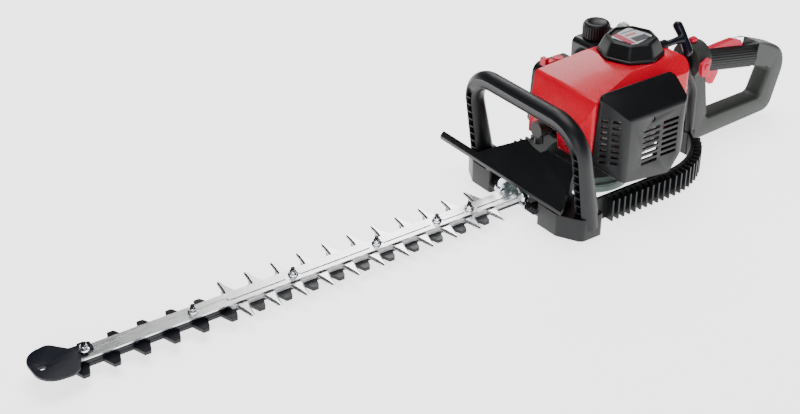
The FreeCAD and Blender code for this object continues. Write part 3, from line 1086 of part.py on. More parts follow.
doc.recompute()
os.makedirs("parts", exist_ok=True)
FAULTS = [item.Name for item in doc.Objects if {"Invalid", "Error"} & set(item.State)]
for item in NODES:
    if item.Shape.isNull() or not item.Shape.isValid():
        FAULTS.append(item.Label)
if FAULTS:
    raise RuntimeError("not sound: " + ", ".join(FAULTS))
for item in NODES:
    item.Shape.exportStep(f"parts/{item.Label}.step")
print(len(NODES), "sub-parts written")
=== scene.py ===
# %% [markdown]
# A petrol hedge trimmer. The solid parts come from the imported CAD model, which this script loads as a
# fixed frame. The lesson adds what a drawing board leaves out: ground teeth, moulded edges, springs,
# nuts, webs and a finish for every surface. Everything is in metres and stays where the CAD says.

# %% Load the frame
import json
import math

import bmesh
import bpy
from mathutils import Matrix, Vector


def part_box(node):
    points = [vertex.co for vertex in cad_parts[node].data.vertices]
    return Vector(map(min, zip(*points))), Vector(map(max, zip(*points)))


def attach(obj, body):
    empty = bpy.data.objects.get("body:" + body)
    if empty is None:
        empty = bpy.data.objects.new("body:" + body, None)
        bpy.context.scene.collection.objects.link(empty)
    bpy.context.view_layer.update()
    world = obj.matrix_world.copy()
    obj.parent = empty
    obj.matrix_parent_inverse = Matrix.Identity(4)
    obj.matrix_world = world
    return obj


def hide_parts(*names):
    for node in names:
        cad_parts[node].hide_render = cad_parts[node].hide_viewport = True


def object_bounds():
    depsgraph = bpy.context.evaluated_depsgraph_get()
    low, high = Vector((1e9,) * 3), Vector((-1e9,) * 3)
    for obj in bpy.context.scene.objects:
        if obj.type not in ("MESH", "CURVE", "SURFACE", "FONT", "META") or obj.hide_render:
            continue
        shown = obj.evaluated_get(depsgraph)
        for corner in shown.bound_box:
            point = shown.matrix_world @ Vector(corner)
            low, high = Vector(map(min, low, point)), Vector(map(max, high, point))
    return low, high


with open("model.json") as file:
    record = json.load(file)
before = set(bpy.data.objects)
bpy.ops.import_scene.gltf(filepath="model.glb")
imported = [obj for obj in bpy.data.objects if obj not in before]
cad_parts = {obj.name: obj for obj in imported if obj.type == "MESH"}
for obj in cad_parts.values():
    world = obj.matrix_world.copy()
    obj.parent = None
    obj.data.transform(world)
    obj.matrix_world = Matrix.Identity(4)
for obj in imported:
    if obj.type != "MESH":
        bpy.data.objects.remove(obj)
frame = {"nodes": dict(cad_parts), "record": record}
cad_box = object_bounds()
MM = 0.001
blade_low, blade_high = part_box("upper_blade")
NOSE = 11 * MM
CENTRE_Y = (blade_low.y + blade_high.y) / 2
FIRST_TOOTH = Vector((blade_low.x + NOSE, CENTRE_Y, blade_high.z))
BODY_OF = {node: body for body, nodes in frame["record"]["behaviour"]["bodies"].items() for node in nodes}


def at(x, y, z):
    """A place in millimetres from the first tooth's centre, at the top of the upper blade."""
    return FIRST_TOOTH + Vector((x, y, z)) * MM


print("nodes", len(frame["nodes"]), "first tooth at", tuple(round(v, 4) for v in FIRST_TOOTH))

# %% [markdown]
# A shader is easier to read as an expression than as a wall of links. Wire wraps one output socket and
# answers to + - * and comparisons, also with a plain number on the left. Graph.node makes any other
# node in one call: its kind, its settings, then the values or wires of its sockets.

# %% Node helpers


class Wire:
    """One output socket that does arithmetic by adding Math nodes."""

    def __init__(self, graph, socket):
        self.graph = graph
        self.socket = socket

    def sum_with(self, operation, first, second):
        return self.graph.node("ShaderNodeMath", {"operation": operation}, {0: first, 1: second})

    def __add__(self, other):
        return self.sum_with("ADD", self, other)

    __radd__ = __add__

    def __sub__(self, other):
        return self.sum_with("SUBTRACT", self, other)

    def __rsub__(self, other):
        return self.sum_with("SUBTRACT", other, self)

    def __mul__(self, other):
        return self.sum_with("MULTIPLY", self, other)

    __rmul__ = __mul__

    def __gt__(self, other):
        return self.sum_with("GREATER_THAN", self, other)

    def __lt__(self, other):
        return self.sum_with("LESS_THAN", self, other)


class Graph:
    """A node tree that is written one call per node."""

    def __init__(self, tree):
        self.tree = tree

    def node(self, kind, settings=None, sockets=None, output=0):
        made = self.tree.nodes.new(kind)
        for key, setting in (settings or {}).items():
            setattr(made, key, setting)
        for key, given in (sockets or {}).items():
            if isinstance(given, Wire):
                self.tree.links.new(given.socket, made.inputs[key])
            else:
                made.inputs[key].default_value = given
        return Wire(self, made.outputs[output])


class Finish(Graph):
    """A material whose Principled shader is filled in by expressions."""

    def __init__(self, name, **constants):
        self.material = bpy.data.materials.new(name)
        self.material.use_nodes = True
        super().__init__(self.material.node_tree)
        self.shader = self.tree.nodes["Principled BSDF"]
        for socket, number in constants.items():
            self.shader.inputs[socket.replace("_", " ")].default_value = number
        self.place = self.node("ShaderNodeTexCoord", output=3)

    def noise(self, scale, detail=2.0, stretch=None):
        place = self.place
        if stretch:
            place = self.node("ShaderNodeMapping", None, {"Vector": place, "Scale": stretch})
        return self.node("ShaderNodeTexNoise", None, {"Vector": place, "Scale": scale, "Detail": detail})

    def blend(self, share, first, second):
        """Mixes two colours, each a tuple or a wire, by a share from 0 to 1."""
        first, second = ((*side, 1) if isinstance(side, tuple) else side for side in (first, second))
        return self.node("ShaderNodeMix", {"data_type": "RGBA"}, {0: share, 6: first, 7: second}, 2)

    def wear(self, height, depth, edge=0.0):
        sockets = {"Height": height, "Distance": depth, "Strength": 1.0}
        if edge:
            sockets["Normal"] = self.node("ShaderNodeBevel", {"samples": 4}, {"Radius": edge})
        self.put("Normal", self.node("ShaderNodeBump", None, sockets))

    def put(self, socket, wire):
        self.tree.links.new(wire.socket, self.shader.inputs[socket])

    def axes(self):
        made = self.tree.nodes.new("ShaderNodeSeparateXYZ")
        self.tree.links.new(self.place.socket, made.inputs[0])
        return [Wire(self, out) for out in made.outputs]


def tone(color, factor):
    return tuple(min(1.0, channel * factor) for channel in color)


# %% [markdown]
# Most of the machine is injection moulded plastic. Its real look is a fine spark-eroded grain, a slow
# cloudiness where the melt flowed, and a slightly polished skin on what hands touch. One maker covers
# them all; a colour, a gloss and the size of the grain tell them apart.

# %% Moulded plastic


def moulded(name, color, gloss, grain=1500, depth=0.05, edge=0.6, coat=0.0, spread=0.16, shine=0.28):
    """A plastic: the grain's scale, its depth and the edge's rounding in millimetres."""
    finish = Finish(name, Coat_Weight=coat, Coat_Roughness=0.06, Specular_IOR_Level=shine)
    cloud = finish.noise(22.0, 3.0)
    speck = finish.noise(grain, 2.0)
    finish.put("Base Color", finish.blend(cloud, tone(color, 1 - spread), tone(color, 1 + spread)))
    finish.put("Roughness", gloss + (cloud - 0.5) * 0.12 + (speck - 0.5) * 0.1)
    finish.wear(speck + cloud * 0.4, depth * MM, edge * MM)
    return finish.material


finishes = {
    "guard_black": moulded("guard_black", (0.0035, 0.0045, 0.008), 0.30, 900, 0.04, 0.8),
    "tip_plastic": moulded("tip_plastic", (0.0040, 0.0052, 0.012), 0.34, 1300, 0.05, 1.0),
    "black_plastic": moulded("black_plastic", (0.0042, 0.0048, 0.0060), 0.40, 1400, 0.07, 0.8),
    "red_plastic": moulded("red_plastic", (0.60, 0.0, 0.018), 0.27, 500, 0.010, 1.2,
                           coat=0.12, spread=0.05, shine=0.22),
    "lever_red": moulded("lever_red", (0.60, 0.0, 0.035), 0.34, 1300, 0.04, 0.6, spread=0.06),
    "olive_plastic": moulded("olive_plastic", (0.035, 0.040, 0.036), 0.46, 1500, 0.08, 1.5),
    "rubber_black": moulded("rubber_black", (0.0035, 0.0035, 0.004), 0.36, 900, 0.05, 0.8),
    "tank_plastic": moulded("tank_plastic", (0.010, 0.010, 0.011), 0.3, 700, 0.03, 1.5, coat=0.3),
}
print("moulded finishes", len(finishes))

# %% [markdown]
# Metals differ in how they were worked. A blade is ground, so fine lines run across it. A bar is rolled
# along its length. Zinc and chrome are nearly mirrors with a bluish tint, and a casting keeps the skin
# of its mould, so it gets a rough bump and no direction at all.

# %% Worked metals


def worked(name, color, gloss, stretch=None, scale=900, depth=0.01, edge=0.4, spread=0.1, metal=1.0):
    """A metal: stretch draws its lines out along one axis, and depth and edge are in millimetres."""
    finish = Finish(name, Metallic=metal)
    lines = finish.noise(scale, 3.0, stretch)
    cloud = finish.noise(30.0, 3.0)
    finish.put("Base Color", finish.blend(cloud, tone(color, 1 - spread), tone(color, 1 + spread)))
    finish.put("Roughness", gloss + (lines - 0.5) * 0.22 + (cloud - 0.5) * 0.1)
    finish.wear(lines, depth * MM, edge * MM)
    return finish.material


finishes |= {
    "blade_steel": worked("blade_steel", (0.86, 0.87, 0.89), 0.26, (1.0, 0.04, 1.0), 1100, 0.008, 0.3),
    "bar_steel": worked("bar_steel", (0.87, 0.875, 0.885), 0.3, (0.03, 1.0, 1.0), 1100, 0.008, 0.4),
    "zinc": worked("zinc", (0.66, 0.69, 0.74), 0.14, None, 240, 0.01, 0.4),
    "bolt_black": worked("bolt_black", (0.02, 0.02, 0.023), 0.36, None, 500, 0.02, 0.3),
    "case_alloy": worked("case_alloy", (0.15, 0.195, 0.18), 0.46, None, 620, 0.16, 1.2, 0.08, 0.35),
    "machined": worked("machined", (0.55, 0.55, 0.57), 0.3, None, 500, 0.01, 0.3),
    "engine_alloy": worked("engine_alloy", (0.45, 0.46, 0.47), 0.44, None, 600, 0.12, 0.5, 0.1, 0.8),
    "muffler_steel": worked("muffler_steel", (0.34, 0.31, 0.29), 0.4, None, 160, 0.05, 0.8, 0.25),
}
print("metal finishes", len(finishes))

# %% [markdown]
# The rest are one of a kind: the ribbed rubber of the grip, whose lines run along its sloping axis; the
# braided rope; the open foam of the filter; and the soft clear dome of the primer.

# %% Grip, rope, foam and bulb
grip_low, grip_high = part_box("grip_sleeve")
grip = Finish("grip_rubber", Specular_IOR_Level=0.3)
grip_x, grip_y, grip_z = grip.axes()
GRIP_LINES = 30
GRIP_SLOPE = math.tan(math.radians(10.6))
grip_axis_z = (grip_high.z + grip_low.z) / 2
axis_height = grip_axis_z - (grip_x - (grip_low.x + grip_high.x) / 2) * GRIP_SLOPE
turn = grip.node("ShaderNodeMath", {"operation": "ARCTAN2"}, {
    0: grip_y - CENTRE_Y, 1: grip_z - axis_height})
ridge = grip.node("ShaderNodeMath", {"operation": "SINE"}, {0: turn * GRIP_LINES})
grip_cloud = grip.noise(40.0, 3.0)
grip.put("Base Color", grip.blend(grip_cloud, (0.005, 0.006, 0.006), (0.012, 0.014, 0.014)))
grip.put("Roughness", 0.6 + (grip_cloud - 0.5) * 0.15)
grip.wear(ridge * 0.5 + grip_cloud * 0.3, 0.6 * MM)
finishes["grip_rubber"] = grip.material

rope = Finish("rope_white", Sheen_Weight=0.4)
strands = rope.node("ShaderNodeTexWave", {"bands_direction": "DIAGONAL"}, {
    "Vector": rope.place, "Scale": 220.0})
rope.put("Base Color", rope.blend(strands, (0.5, 0.49, 0.46), (0.82, 0.8, 0.76)))
rope.put("Roughness", 0.75 + strands * 0.1)
rope.wear(strands, 0.3 * MM)
finishes["rope_white"] = rope.material

foam = Finish("filter_foam")
cells = foam.node("ShaderNodeTexVoronoi", None, {"Vector": foam.place, "Scale": 600.0})
foam.put("Base Color", foam.blend(cells, (0.02, 0.02, 0.015), (0.16, 0.16, 0.12)))
foam.put("Roughness", 0.85 + cells * 0.1)
foam.wear(cells, 0.8 * MM)
finishes["filter_foam"] = foam.material

bulb = Finish("bulb_clear", Transmission_Weight=0.75, IOR=1.42)
haze = bulb.noise(60.0, 2.0)
bulb.put("Base Color", bulb.blend(haze, (0.8, 0.8, 0.76), (0.92, 0.92, 0.9)))
bulb.put("Roughness", 0.08 + haze * 0.08)
bulb.wear(haze, 0.05 * MM)
finishes["bulb_clear"] = bulb.material

# %% [markdown]
# The foil label on the starter carries printing. Plain blocks of colour stand in for it, so that it
# reads as a printed plate with no words on it. Each block is a pair of comparisons along x and y.

# %% Label
label_low, label_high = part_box("label_plate")
label = Finish("label_silver", Metallic=0.35, Roughness=0.35)
label_x, label_y, _ = label.axes()


def block(x0, x1, y0, y1):
    """1 inside a rectangle that is given as shares of the label, else 0."""
    size = label_high - label_low
    inside_x = (label_x > label_low.x + x0 * size.x) * (label_x < label_low.x + x1 * size.x)
    return inside_x * (label_y > label_low.y + y0 * size.y) * (label_y < label_low.y + y1 * size.y)


print_tone = label.blend(block(0.08, 0.3, 0.1, 0.9), (0.55, 0.56, 0.58), (0.45, 0.05, 0.10))
print_tone = label.blend(block(0.36, 0.9, 0.12, 0.42), print_tone, (0.06, 0.06, 0.07))
print_tone = label.blend(block(0.36, 0.74, 0.56, 0.66), print_tone, (0.5, 0.12, 0.16))
print_tone = label.blend(block(0.36, 0.9, 0.76, 0.84), print_tone, (0.2, 0.2, 0.22))
label.put("Base Color", print_tone)
label.wear(label.noise(400.0), 0.02 * MM)
finishes["label_silver"] = label.material
print("finishes", len(finishes))

# %% [markdown]
# Every CAD node takes the finish of its material slot in the record. Pieces made below take theirs from
# the same table, so a rail and its ribs can never drift apart.

# %% Dress the CAD nodes
slot_of = {part["node"]: part["material_slot"] for part in frame["record"]["subparts"]}
for name, item in frame["nodes"].items():
    item.data.materials.clear()
    item.data.materials.append(finishes[slot_of[name]])


def settle(item, body, slot, *stands_for):
    """Gives a finished piece its finish and its body, and hides the CAD nodes that it stands for."""
    if not item.data.materials:
        item.data.materials.append(finishes[slot])
    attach(item, body)
    if stands_for:
        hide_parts(*stands_for)
    return item


def new_piece(name, mesh):
    item = bpy.data.objects.new(name, mesh)
    bpy.context.scene.collection.objects.link(item)
    return item


# %% [markdown]
# Four small tools make most of the pieces. `lofted` skins a row of rings, which gives handles and
# teeth. `absorb` makes several pieces one. `eased` copies a CAD part, merges its loose triangles and
# rounds chosen edges, because no mould gives a knife-sharp edge. `Pattern` writes a Geometry Nodes tree
# for whatever repeats.

# %% Mesh helpers


def solid_mesh(name, shape):
    """Turns a bmesh into a mesh whose faces point outwards."""
    bmesh.ops.remove_doubles(shape, verts=shape.verts, dist=1e-6)
    bmesh.ops.recalc_face_normals(shape, faces=shape.faces)
    mesh = bpy.data.meshes.new(name)
    shape.to_mesh(mesh)
    shape.free()
    return mesh


def lofted(name, rings, ring_closed=False, smooth=True):
    """A skin over rings of equal length, capped at both ends unless it returns to its start."""
    shape = bmesh.new()
    loops = [[shape.verts.new(point) for point in ring] for ring in rings]
    pairs = list(zip(loops, loops[1:]))
    if ring_closed:
        pairs.append((loops[-1], loops[0]))
    for first, second in pairs:
        count = len(first)
        for i in range(count):
            j = (i + 1) % count
            shape.faces.new((first[i], first[j], second[j], second[i]))
    if not ring_closed:
        shape.faces.new(loops[0][::-1])
        shape.faces.new(loops[-1])
    for face in shape.faces:
        face.smooth = smooth and len(face.verts) == 4
    return new_piece(name, solid_mesh(name, shape))


def absorb(piece, *others):
    """Adds the meshes of other pieces to a piece and removes those pieces."""
    shape = bmesh.new()
    for part in (piece, *others):
        shape.from_mesh(part.data)
    shape.to_mesh(piece.data)
    shape.free()
    for part in others:
        bpy.data.objects.remove(part)


def merged_copy(node):
    """The CAD part's own mesh with its seams joined and its flat faces whole."""
    shape = bmesh.new()
    shape.from_mesh(frame["nodes"][node].data)
    bmesh.ops.remove_doubles(shape, verts=shape.verts, dist=2e-6)
    bmesh.ops.dissolve_limit(shape, angle_limit=math.radians(1.0), verts=shape.verts, edges=shape.edges)
    return shape


def sharp_edges(shape, least=40.0, wanted=None):
    chosen = []
    for edge in shape.edges:
        if len(edge.link_faces) == 2 and edge.calc_face_angle(0.0) > math.radians(least):
            if wanted is None or wanted(edge):
                chosen.append(edge)
    return chosen


def eased(node, radius, segments=2, least=40.0, wanted=None, clamp=True):
    """A copy of a CAD part with rounded edges, standing in its place."""
    shape = merged_copy(node)
    chosen = sharp_edges(shape, least, wanted)
    bmesh.ops.bevel(shape, geom=chosen, offset=radius * MM, segments=segments, profile=0.5, affect="EDGES",
                    clamp_overlap=clamp)
    for face in shape.faces:
        face.smooth = True
    name = node + "_moulding"
    mesh = solid_mesh(name, shape)
    mesh.set_sharp_from_angle(angle=math.radians(32))
    piece = new_piece(name, mesh)
    settle(piece, BODY_OF[node], slot_of[node], node)
    print(name, "edges rounded", len(chosen), "faces", len(mesh.polygons))
    return piece


# %% Geometry Nodes helper


class Pattern(Graph):
    """A Geometry Nodes tree with named sizes that ends in plain mesh with one finish."""

    KINDS = {int: "NodeSocketInt", float: "NodeSocketFloat", Vector: "NodeSocketVector"}

    def __init__(self, name, **sizes):
        super().__init__(bpy.data.node_groups.new(name, "GeometryNodeTree"))
        face = self.tree.interface
        self.sizes = sizes
        face.new_socket("Seed", in_out="INPUT", socket_type="NodeSocketGeometry")
        face.new_socket("Finish", in_out="INPUT", socket_type="NodeSocketMaterial")
        for size, number in sizes.items():
            face.new_socket(size, in_out="INPUT", socket_type=self.KINDS[type(number)])
        face.new_socket("Result", in_out="OUTPUT", socket_type="NodeSocketGeometry")
        self.given = self.tree.nodes.new("NodeGroupInput")
        self.end = self.tree.nodes.new("NodeGroupOutput")

    def size(self, name):
        return Wire(self, self.given.outputs[name])

    def finish_with(self, geometry):
        plain = self.node("GeometryNodeRealizeInstances", None, {"Geometry": geometry})
        painted = self.node("GeometryNodeSetMaterial", None, {
            "Geometry": plain, "Material": self.size("Finish")})
        self.tree.links.new(painted.socket, self.end.inputs[0])

    def grow(self, name, seed, slot):
        """Runs the tree on a seed mesh and returns the result as a plain piece."""
        item = new_piece(name, seed)
        modifier = item.modifiers.new("pattern", "NODES")
        modifier.node_group = self.tree
        given = dict(self.sizes, Finish=finishes[slot])
        for socket in self.tree.interface.items_tree:
            if socket.in_out == "INPUT" and socket.name in given:
                modifier[socket.identifier] = given[socket.name]
        bpy.context.view_layer.update()
        seen = item.evaluated_get(bpy.context.evaluated_depsgraph_get())
        grown = bpy.data.meshes.new_from_object(seen)
        item.modifiers.remove(modifier)
        item.data = grown
        print(name, "faces", len(grown.polygons))
        return item


# %% [markdown]
# The cutting teeth are ground from the strip itself. Each is a narrow finger whose flanks run out in a
# hollow curve at the root, with a bevel on both flanks that leaves a bright cutting edge. One pair of
# teeth is lofted, a tree repeats it eleven times along the strip, and the strip itself is the CAD blade
# with its plain teeth cut off. Behind the last tooth the CAD blade is kept whole.

# %% Cutting blades
TOOTH_REACH, TOOTH_TIP, TOOTH_SINK, TOOTH_STEPS = 40.0, 2.4, 1.5, 12
BLADE_HALF, BLADE_THICK, BLADE_GAP, BLADE_TAIL = 12.5, 2.0, 0.2, 440.0
PITCH, TEETH = 35.0, 11
GROUND_MOST, GROUND_SHARE, EDGE_LAND, TIP_NARROWING = 1.9, 0.62, 0.55, 0.72


def flank(share, root):
    """Half the width of a tooth, from its tip at 0 to its root at 1."""
    return TOOTH_TIP + (root - TOOTH_TIP) * (0.55 * share + 0.45 * share ** 3.0)


def tooth_rings(side, front_root, rear_root, low, high, edge_low):
    """Cross-sections of one tooth from root to tip; the flank is ground back on one face."""
    rings = []
    root = BLADE_HALF - TOOTH_SINK
    for step in range(TOOTH_STEPS + 1):
        share = 1 - step / TOOTH_STEPS
        reach = root + (TOOTH_REACH - root) * (1 - share)
        near, far = flank(share, front_root), flank(share, rear_root)
        if step == TOOTH_STEPS:
            near, far = near * TIP_NARROWING, far * TIP_NARROWING
        ground = min(GROUND_MOST, GROUND_SHARE * near)
        if edge_low:
            sheer = low + EDGE_LAND
            ring = [(-near, low), (far, low), (far, sheer),
                    (far - ground, high), (-near + ground, high), (-near, sheer)]
        else:
            sheer = high - EDGE_LAND
            ring = [(-near + ground, low), (far - ground, low), (far, sheer),
                    (far, high), (-near, high), (-near, sheer)]
        rings.append([at(x, side * reach, z) for x, z in ring])
    return rings


def tooth_row(node, low, front_root, rear_root, edge_low):
    """Strip and teeth of one blade, made one piece."""
    shape = bmesh.new()
    for side in (-1, 1):
        rings = tooth_rings(side, front_root, rear_root, low, low + BLADE_THICK, edge_low)
        tooth = lofted("tooth", rings, smooth=False)
        shape.from_mesh(tooth.data)
        bpy.data.objects.remove(tooth)
    pair = solid_mesh("tooth_pair", shape)
    row = Pattern(node + "_row", Count=TEETH, Step=Vector((PITCH * MM, 0, 0)))
    line = row.node("GeometryNodeMeshLine", {"mode": "OFFSET"}, {
        "Count": row.size("Count"), "Offset": row.size("Step")})
    row.finish_with(row.node("GeometryNodeInstanceOnPoints", None, {
        "Points": line, "Instance": row.size("Seed")}))
    teeth = row.grow(node + "_teeth", pair, slot_of[node])
    for keep_teeth in (False, True):
        strip = merged_copy(node)
        cuts = [(at(BLADE_TAIL, 0, 0), (-1 if keep_teeth else 1, 0, 0))]
        if not keep_teeth:
            cuts += [(at(0, BLADE_HALF, 0), (0, 1, 0)), (at(0, -BLADE_HALF, 0), (0, -1, 0))]
        for place, normal in cuts:
            everything = strip.verts[:] + strip.edges[:] + strip.faces[:]
            bmesh.ops.bisect_plane(strip, geom=everything, plane_co=place, plane_no=normal, clear_outer=True)
            open_edges = [edge for edge in strip.edges if edge.is_boundary]
            bmesh.ops.holes_fill(strip, edges=open_edges, sides=0)
        half = solid_mesh("strip", strip)
        joint = bmesh.new()
        joint.from_mesh(teeth.data)
        joint.from_mesh(half)
        joint.to_mesh(teeth.data)
        joint.free()
    settle(teeth, BODY_OF[node], slot_of[node], node)


tooth_row("upper_blade", -BLADE_THICK, 7.0, 11.0, True)
tooth_row("lower_blade", -2 * BLADE_THICK - BLADE_GAP, 8.5, 7.0, False)

# %% [markdown]
# Six plated nuts hold the blades: a hexagon with chamfered corners on a round flange, domed on top.
# One nut is lofted from rings and a tree sets it on the bolts.

# %% Blade nuts
BOLT_SPOTS = (-181, -53, 75, 190, 278, 327)
BAR_TOP, TIP_THICK = 2.2, 3.4
FLANGE, HEX, NUT_HIGH, ROUND_ONLY, NUT_POINTS = 6.0, 4.6, 6.8, 99, 36


def nut_ring(height, flats, rounds):
    """A ring between a hexagon and a circle, at one height."""
    ring = []
    for number in range(NUT_POINTS):
        angle = 2 * math.pi * number / NUT_POINTS
        wedge = math.cos(math.pi / 6) / math.cos((angle % (math.pi / 3)) - math.pi / 6)
        radius = min(flats * wedge, rounds)
        ring.append(Vector((radius * math.cos(angle), radius * math.sin(angle), height)) * MM)
    return ring


nut_profile = [(0, ROUND_ONLY, FLANGE - 0.4), (0.3, ROUND_ONLY, FLANGE), (0.9, ROUND_ONLY, FLANGE),
               (1.3, ROUND_ONLY, FLANGE - 0.7), (1.5, HEX, HEX - 0.1), (1.9, HEX, HEX), (4.6, HEX, HEX),
               (5.1, HEX, HEX - 0.5), (6.0, ROUND_ONLY, 3.6), (NUT_HIGH, ROUND_ONLY, 2.7)]
nut = lofted("nut", [nut_ring(*level) for level in nut_profile])
nut.data.set_sharp_from_angle(angle=math.radians(25))
spots = bpy.data.meshes.new("bolt_spots")
seats = [at(x, 0, BAR_TOP + (TIP_THICK if x == BOLT_SPOTS[0] else 0)) for x in BOLT_SPOTS]
spots.from_pydata(seats, [], [])
on_bolts = Pattern("nuts_on_bolts", Turn=Vector((0, 0, 0.3)))
nut_info = on_bolts.node("GeometryNodeObjectInfo", {"transform_space": "ORIGINAL"},
                         {"Object": nut}, "Geometry")
on_bolts.finish_with(on_bolts.node("GeometryNodeInstanceOnPoints", None, {
    "Points": on_bolts.size("Seed"), "Instance": nut_info, "Rotation": on_bolts.size("Turn")}))
nuts = on_bolts.grow("blade_nut_set", spots, "zinc")
bpy.data.objects.remove(nut)
settle(nuts, "chassis", "zinc", "blade_nuts")

# %% [markdown]
# Two short coil springs carry the front of the machine. Geometry Nodes has a spiral curve, so each coil
# is that curve with a wire drawn along it.

# %% Mount springs
SPRING_RADIUS, WIRE, SPRING_TURNS = 5.0, 0.95, 4.0
SPRING_X, SPRING_Z, SPRING_FROM, SPRING_TO = 397.0, -4.0, 30.0, 45.0
SPRING_LONG = SPRING_TO - SPRING_FROM - 2 * WIRE
coil = Pattern("coil_spring", Turns=SPRING_TURNS, Radius=SPRING_RADIUS * MM, Long=SPRING_LONG * MM,
               Wire=WIRE * MM)
helix = coil.node("GeometryNodeCurveSpiral", None, {
    "Resolution": 22, "Rotations": coil.size("Turns"), "Start Radius": coil.size("Radius"),
    "End Radius": coil.size("Radius"), "Height": coil.size("Long")})
wire_ring = coil.node("GeometryNodeCurvePrimitiveCircle", {"mode": "RADIUS"}, {
    "Resolution": 8, "Radius": coil.size("Wire")})
coil.finish_with(coil.node("GeometryNodeCurveToMesh", None, {
    "Curve": helix, "Profile Curve": wire_ring, "Fill Caps": True}))
spring_shape = bmesh.new()
for side in (-1, 1):
    spring = coil.grow("spring", bpy.data.meshes.new("spring"), "bolt_black")
    seat = Matrix.Translation(at(SPRING_X, side * (SPRING_FROM + WIRE), SPRING_Z))
    spring.data.transform(seat @ Matrix.Rotation(-side * math.pi / 2, 4, "X"))
    spring_shape.from_mesh(spring.data)
    bpy.data.objects.remove(spring)
springs = new_piece("coil_springs", solid_mesh("coil_springs", spring_shape))
for face in springs.data.polygons:
    face.use_smooth = True
settle(springs, "chassis", "bolt_black", "mount_springs")

# %% [markdown]
# The zinc wishbone holds the blade's neck between the springs. It is a cast fork: a half ring over the
# neck, open at the bottom, with a round boss at each arm's end where a spring seats. Rings of a rounded
# box section follow the fork's arc.

# %% Wishbone
FORK_X, FORK_Z, FORK_RADIUS, FORK_FLAT, FORK_DEEP = 396.0, 5.0, 20.0, 4.2, 5.6
FORK_START, FORK_SWEEP, FORK_STEPS, FORK_POINTS = -8, 196, 24, 16
FORK_SQUASH, BOXINESS = 0.72, 0.6
BOSS_Z, BOSS_POINTS = -3.0, 24
BOSS_PROFILE = ((18.0, 4.6), (19.0, 5.6), (24.0, 5.6), (24.6, 6.6), (28.4, 6.6), (29.2, 6.0))


def boxed(wave):
    """Pushes a sine or cosine outwards, so that a circle turns into a soft box."""
    return math.copysign(abs(wave) ** BOXINESS, wave)


fork_rings = []
for step in range(FORK_STEPS + 1):
    angle = math.radians(FORK_START + FORK_SWEEP * step / FORK_STEPS)
    swell = 1 + 0.5 * abs(math.cos(angle)) ** 6
    ring = []
    for number in range(FORK_POINTS):
        around = 2 * math.pi * number / FORK_POINTS
        deep = boxed(math.cos(around)) * FORK_DEEP
        out = FORK_RADIUS + boxed(math.sin(around)) * FORK_FLAT * swell
        ring.append(at(FORK_X + deep, out * math.cos(angle), FORK_Z + FORK_SQUASH * out * math.sin(angle)))
    fork_rings.append(ring)
fork = lofted("wishbone_fork", fork_rings)
fork_shape = bmesh.new()
fork_shape.from_mesh(fork.data)
for side in (-1, 1):
    boss_rings = []
    for reach, radius in BOSS_PROFILE:
        turns = [2 * math.pi * number / BOSS_POINTS for number in range(BOSS_POINTS)]
        boss_rings.append([at(FORK_X + radius * math.cos(angle), side * reach,
                              BOSS_Z + radius * math.sin(angle)) for angle in turns])
    boss = lofted("boss", boss_rings)
    boss.data.set_sharp_from_angle(angle=math.radians(40))
    fork_shape.from_mesh(boss.data)
    bpy.data.objects.remove(boss)
bmesh.ops.recalc_face_normals(fork_shape, faces=fork_shape.faces)
fork_shape.to_mesh(fork.data)
fork_shape.free()
settle(fork, "chassis", "zinc", "wishbone_yoke")

# %% [markdown]
# The front handle is one moulded loop. Its front is an open channel stiffened by small webs, and it
# closes towards the top, where the hand goes. The rings follow the loop's own path; the webs are
# instances on the same path.

# %% Front loop handle
LOOP_HALF, LOOP_RISE, LOOP_CORNER, LOOP_TUBE, LOOP_SINK = 102.0, 122.0, 42.0, 12.0, 14
LOOP_FOOT_X, LOOP_FOOT_Z, LOOP_LEAN = 424.0, 6.0, math.atan2(17, 122)
LEG_STEPS, CORNER_STEPS, TUBE_STEPS = 16, 14, 24
LEG_SWELL, SWELL_SPAN = 0.26, 70
CHANNEL_DEEP, CHANNEL_HALF, CHANNEL_FADE, CHANNEL_STOP = 8.0, 5.4, 30, 18
WEB_FROM, WEB_TO, WEB_FORWARD = 12, 88, 6.2


def loop_path():
    """Points and in-plane outward directions from the near foot over the top to the far foot."""
    points = []
    for step in range(LEG_STEPS):
        rise = (LOOP_RISE - LOOP_CORNER + LOOP_SINK) * step / LEG_STEPS
        points.append((-LOOP_HALF, rise - LOOP_SINK, math.pi))
    for step in range(CORNER_STEPS + 1):
        angle = math.pi - math.pi / 2 * step / CORNER_STEPS
        points.append((-LOOP_HALF + LOOP_CORNER + LOOP_CORNER * math.cos(angle),
                       LOOP_RISE - LOOP_CORNER + LOOP_CORNER * math.sin(angle), angle))
    points.append((0.0, LOOP_RISE, math.pi / 2))
    return points + [(-y, z, math.pi - angle) for y, z, angle in reversed(points[:-1])]


def leaned(across, up, forward):
    """From the loop's own plane to the machine: forward is towards the blade."""
    x = -forward * math.cos(LOOP_LEAN) - up * math.sin(LOOP_LEAN)
    z = -forward * math.sin(LOOP_LEAN) + up * math.cos(LOOP_LEAN)
    return at(LOOP_FOOT_X + x, across, LOOP_FOOT_Z + z)


def channel_depth(up):
    """Deep on the legs and closed on the top of the loop."""
    share = (LOOP_RISE - CHANNEL_STOP - up) / CHANNEL_FADE
    return CHANNEL_DEEP * min(1.0, max(0.0, share))


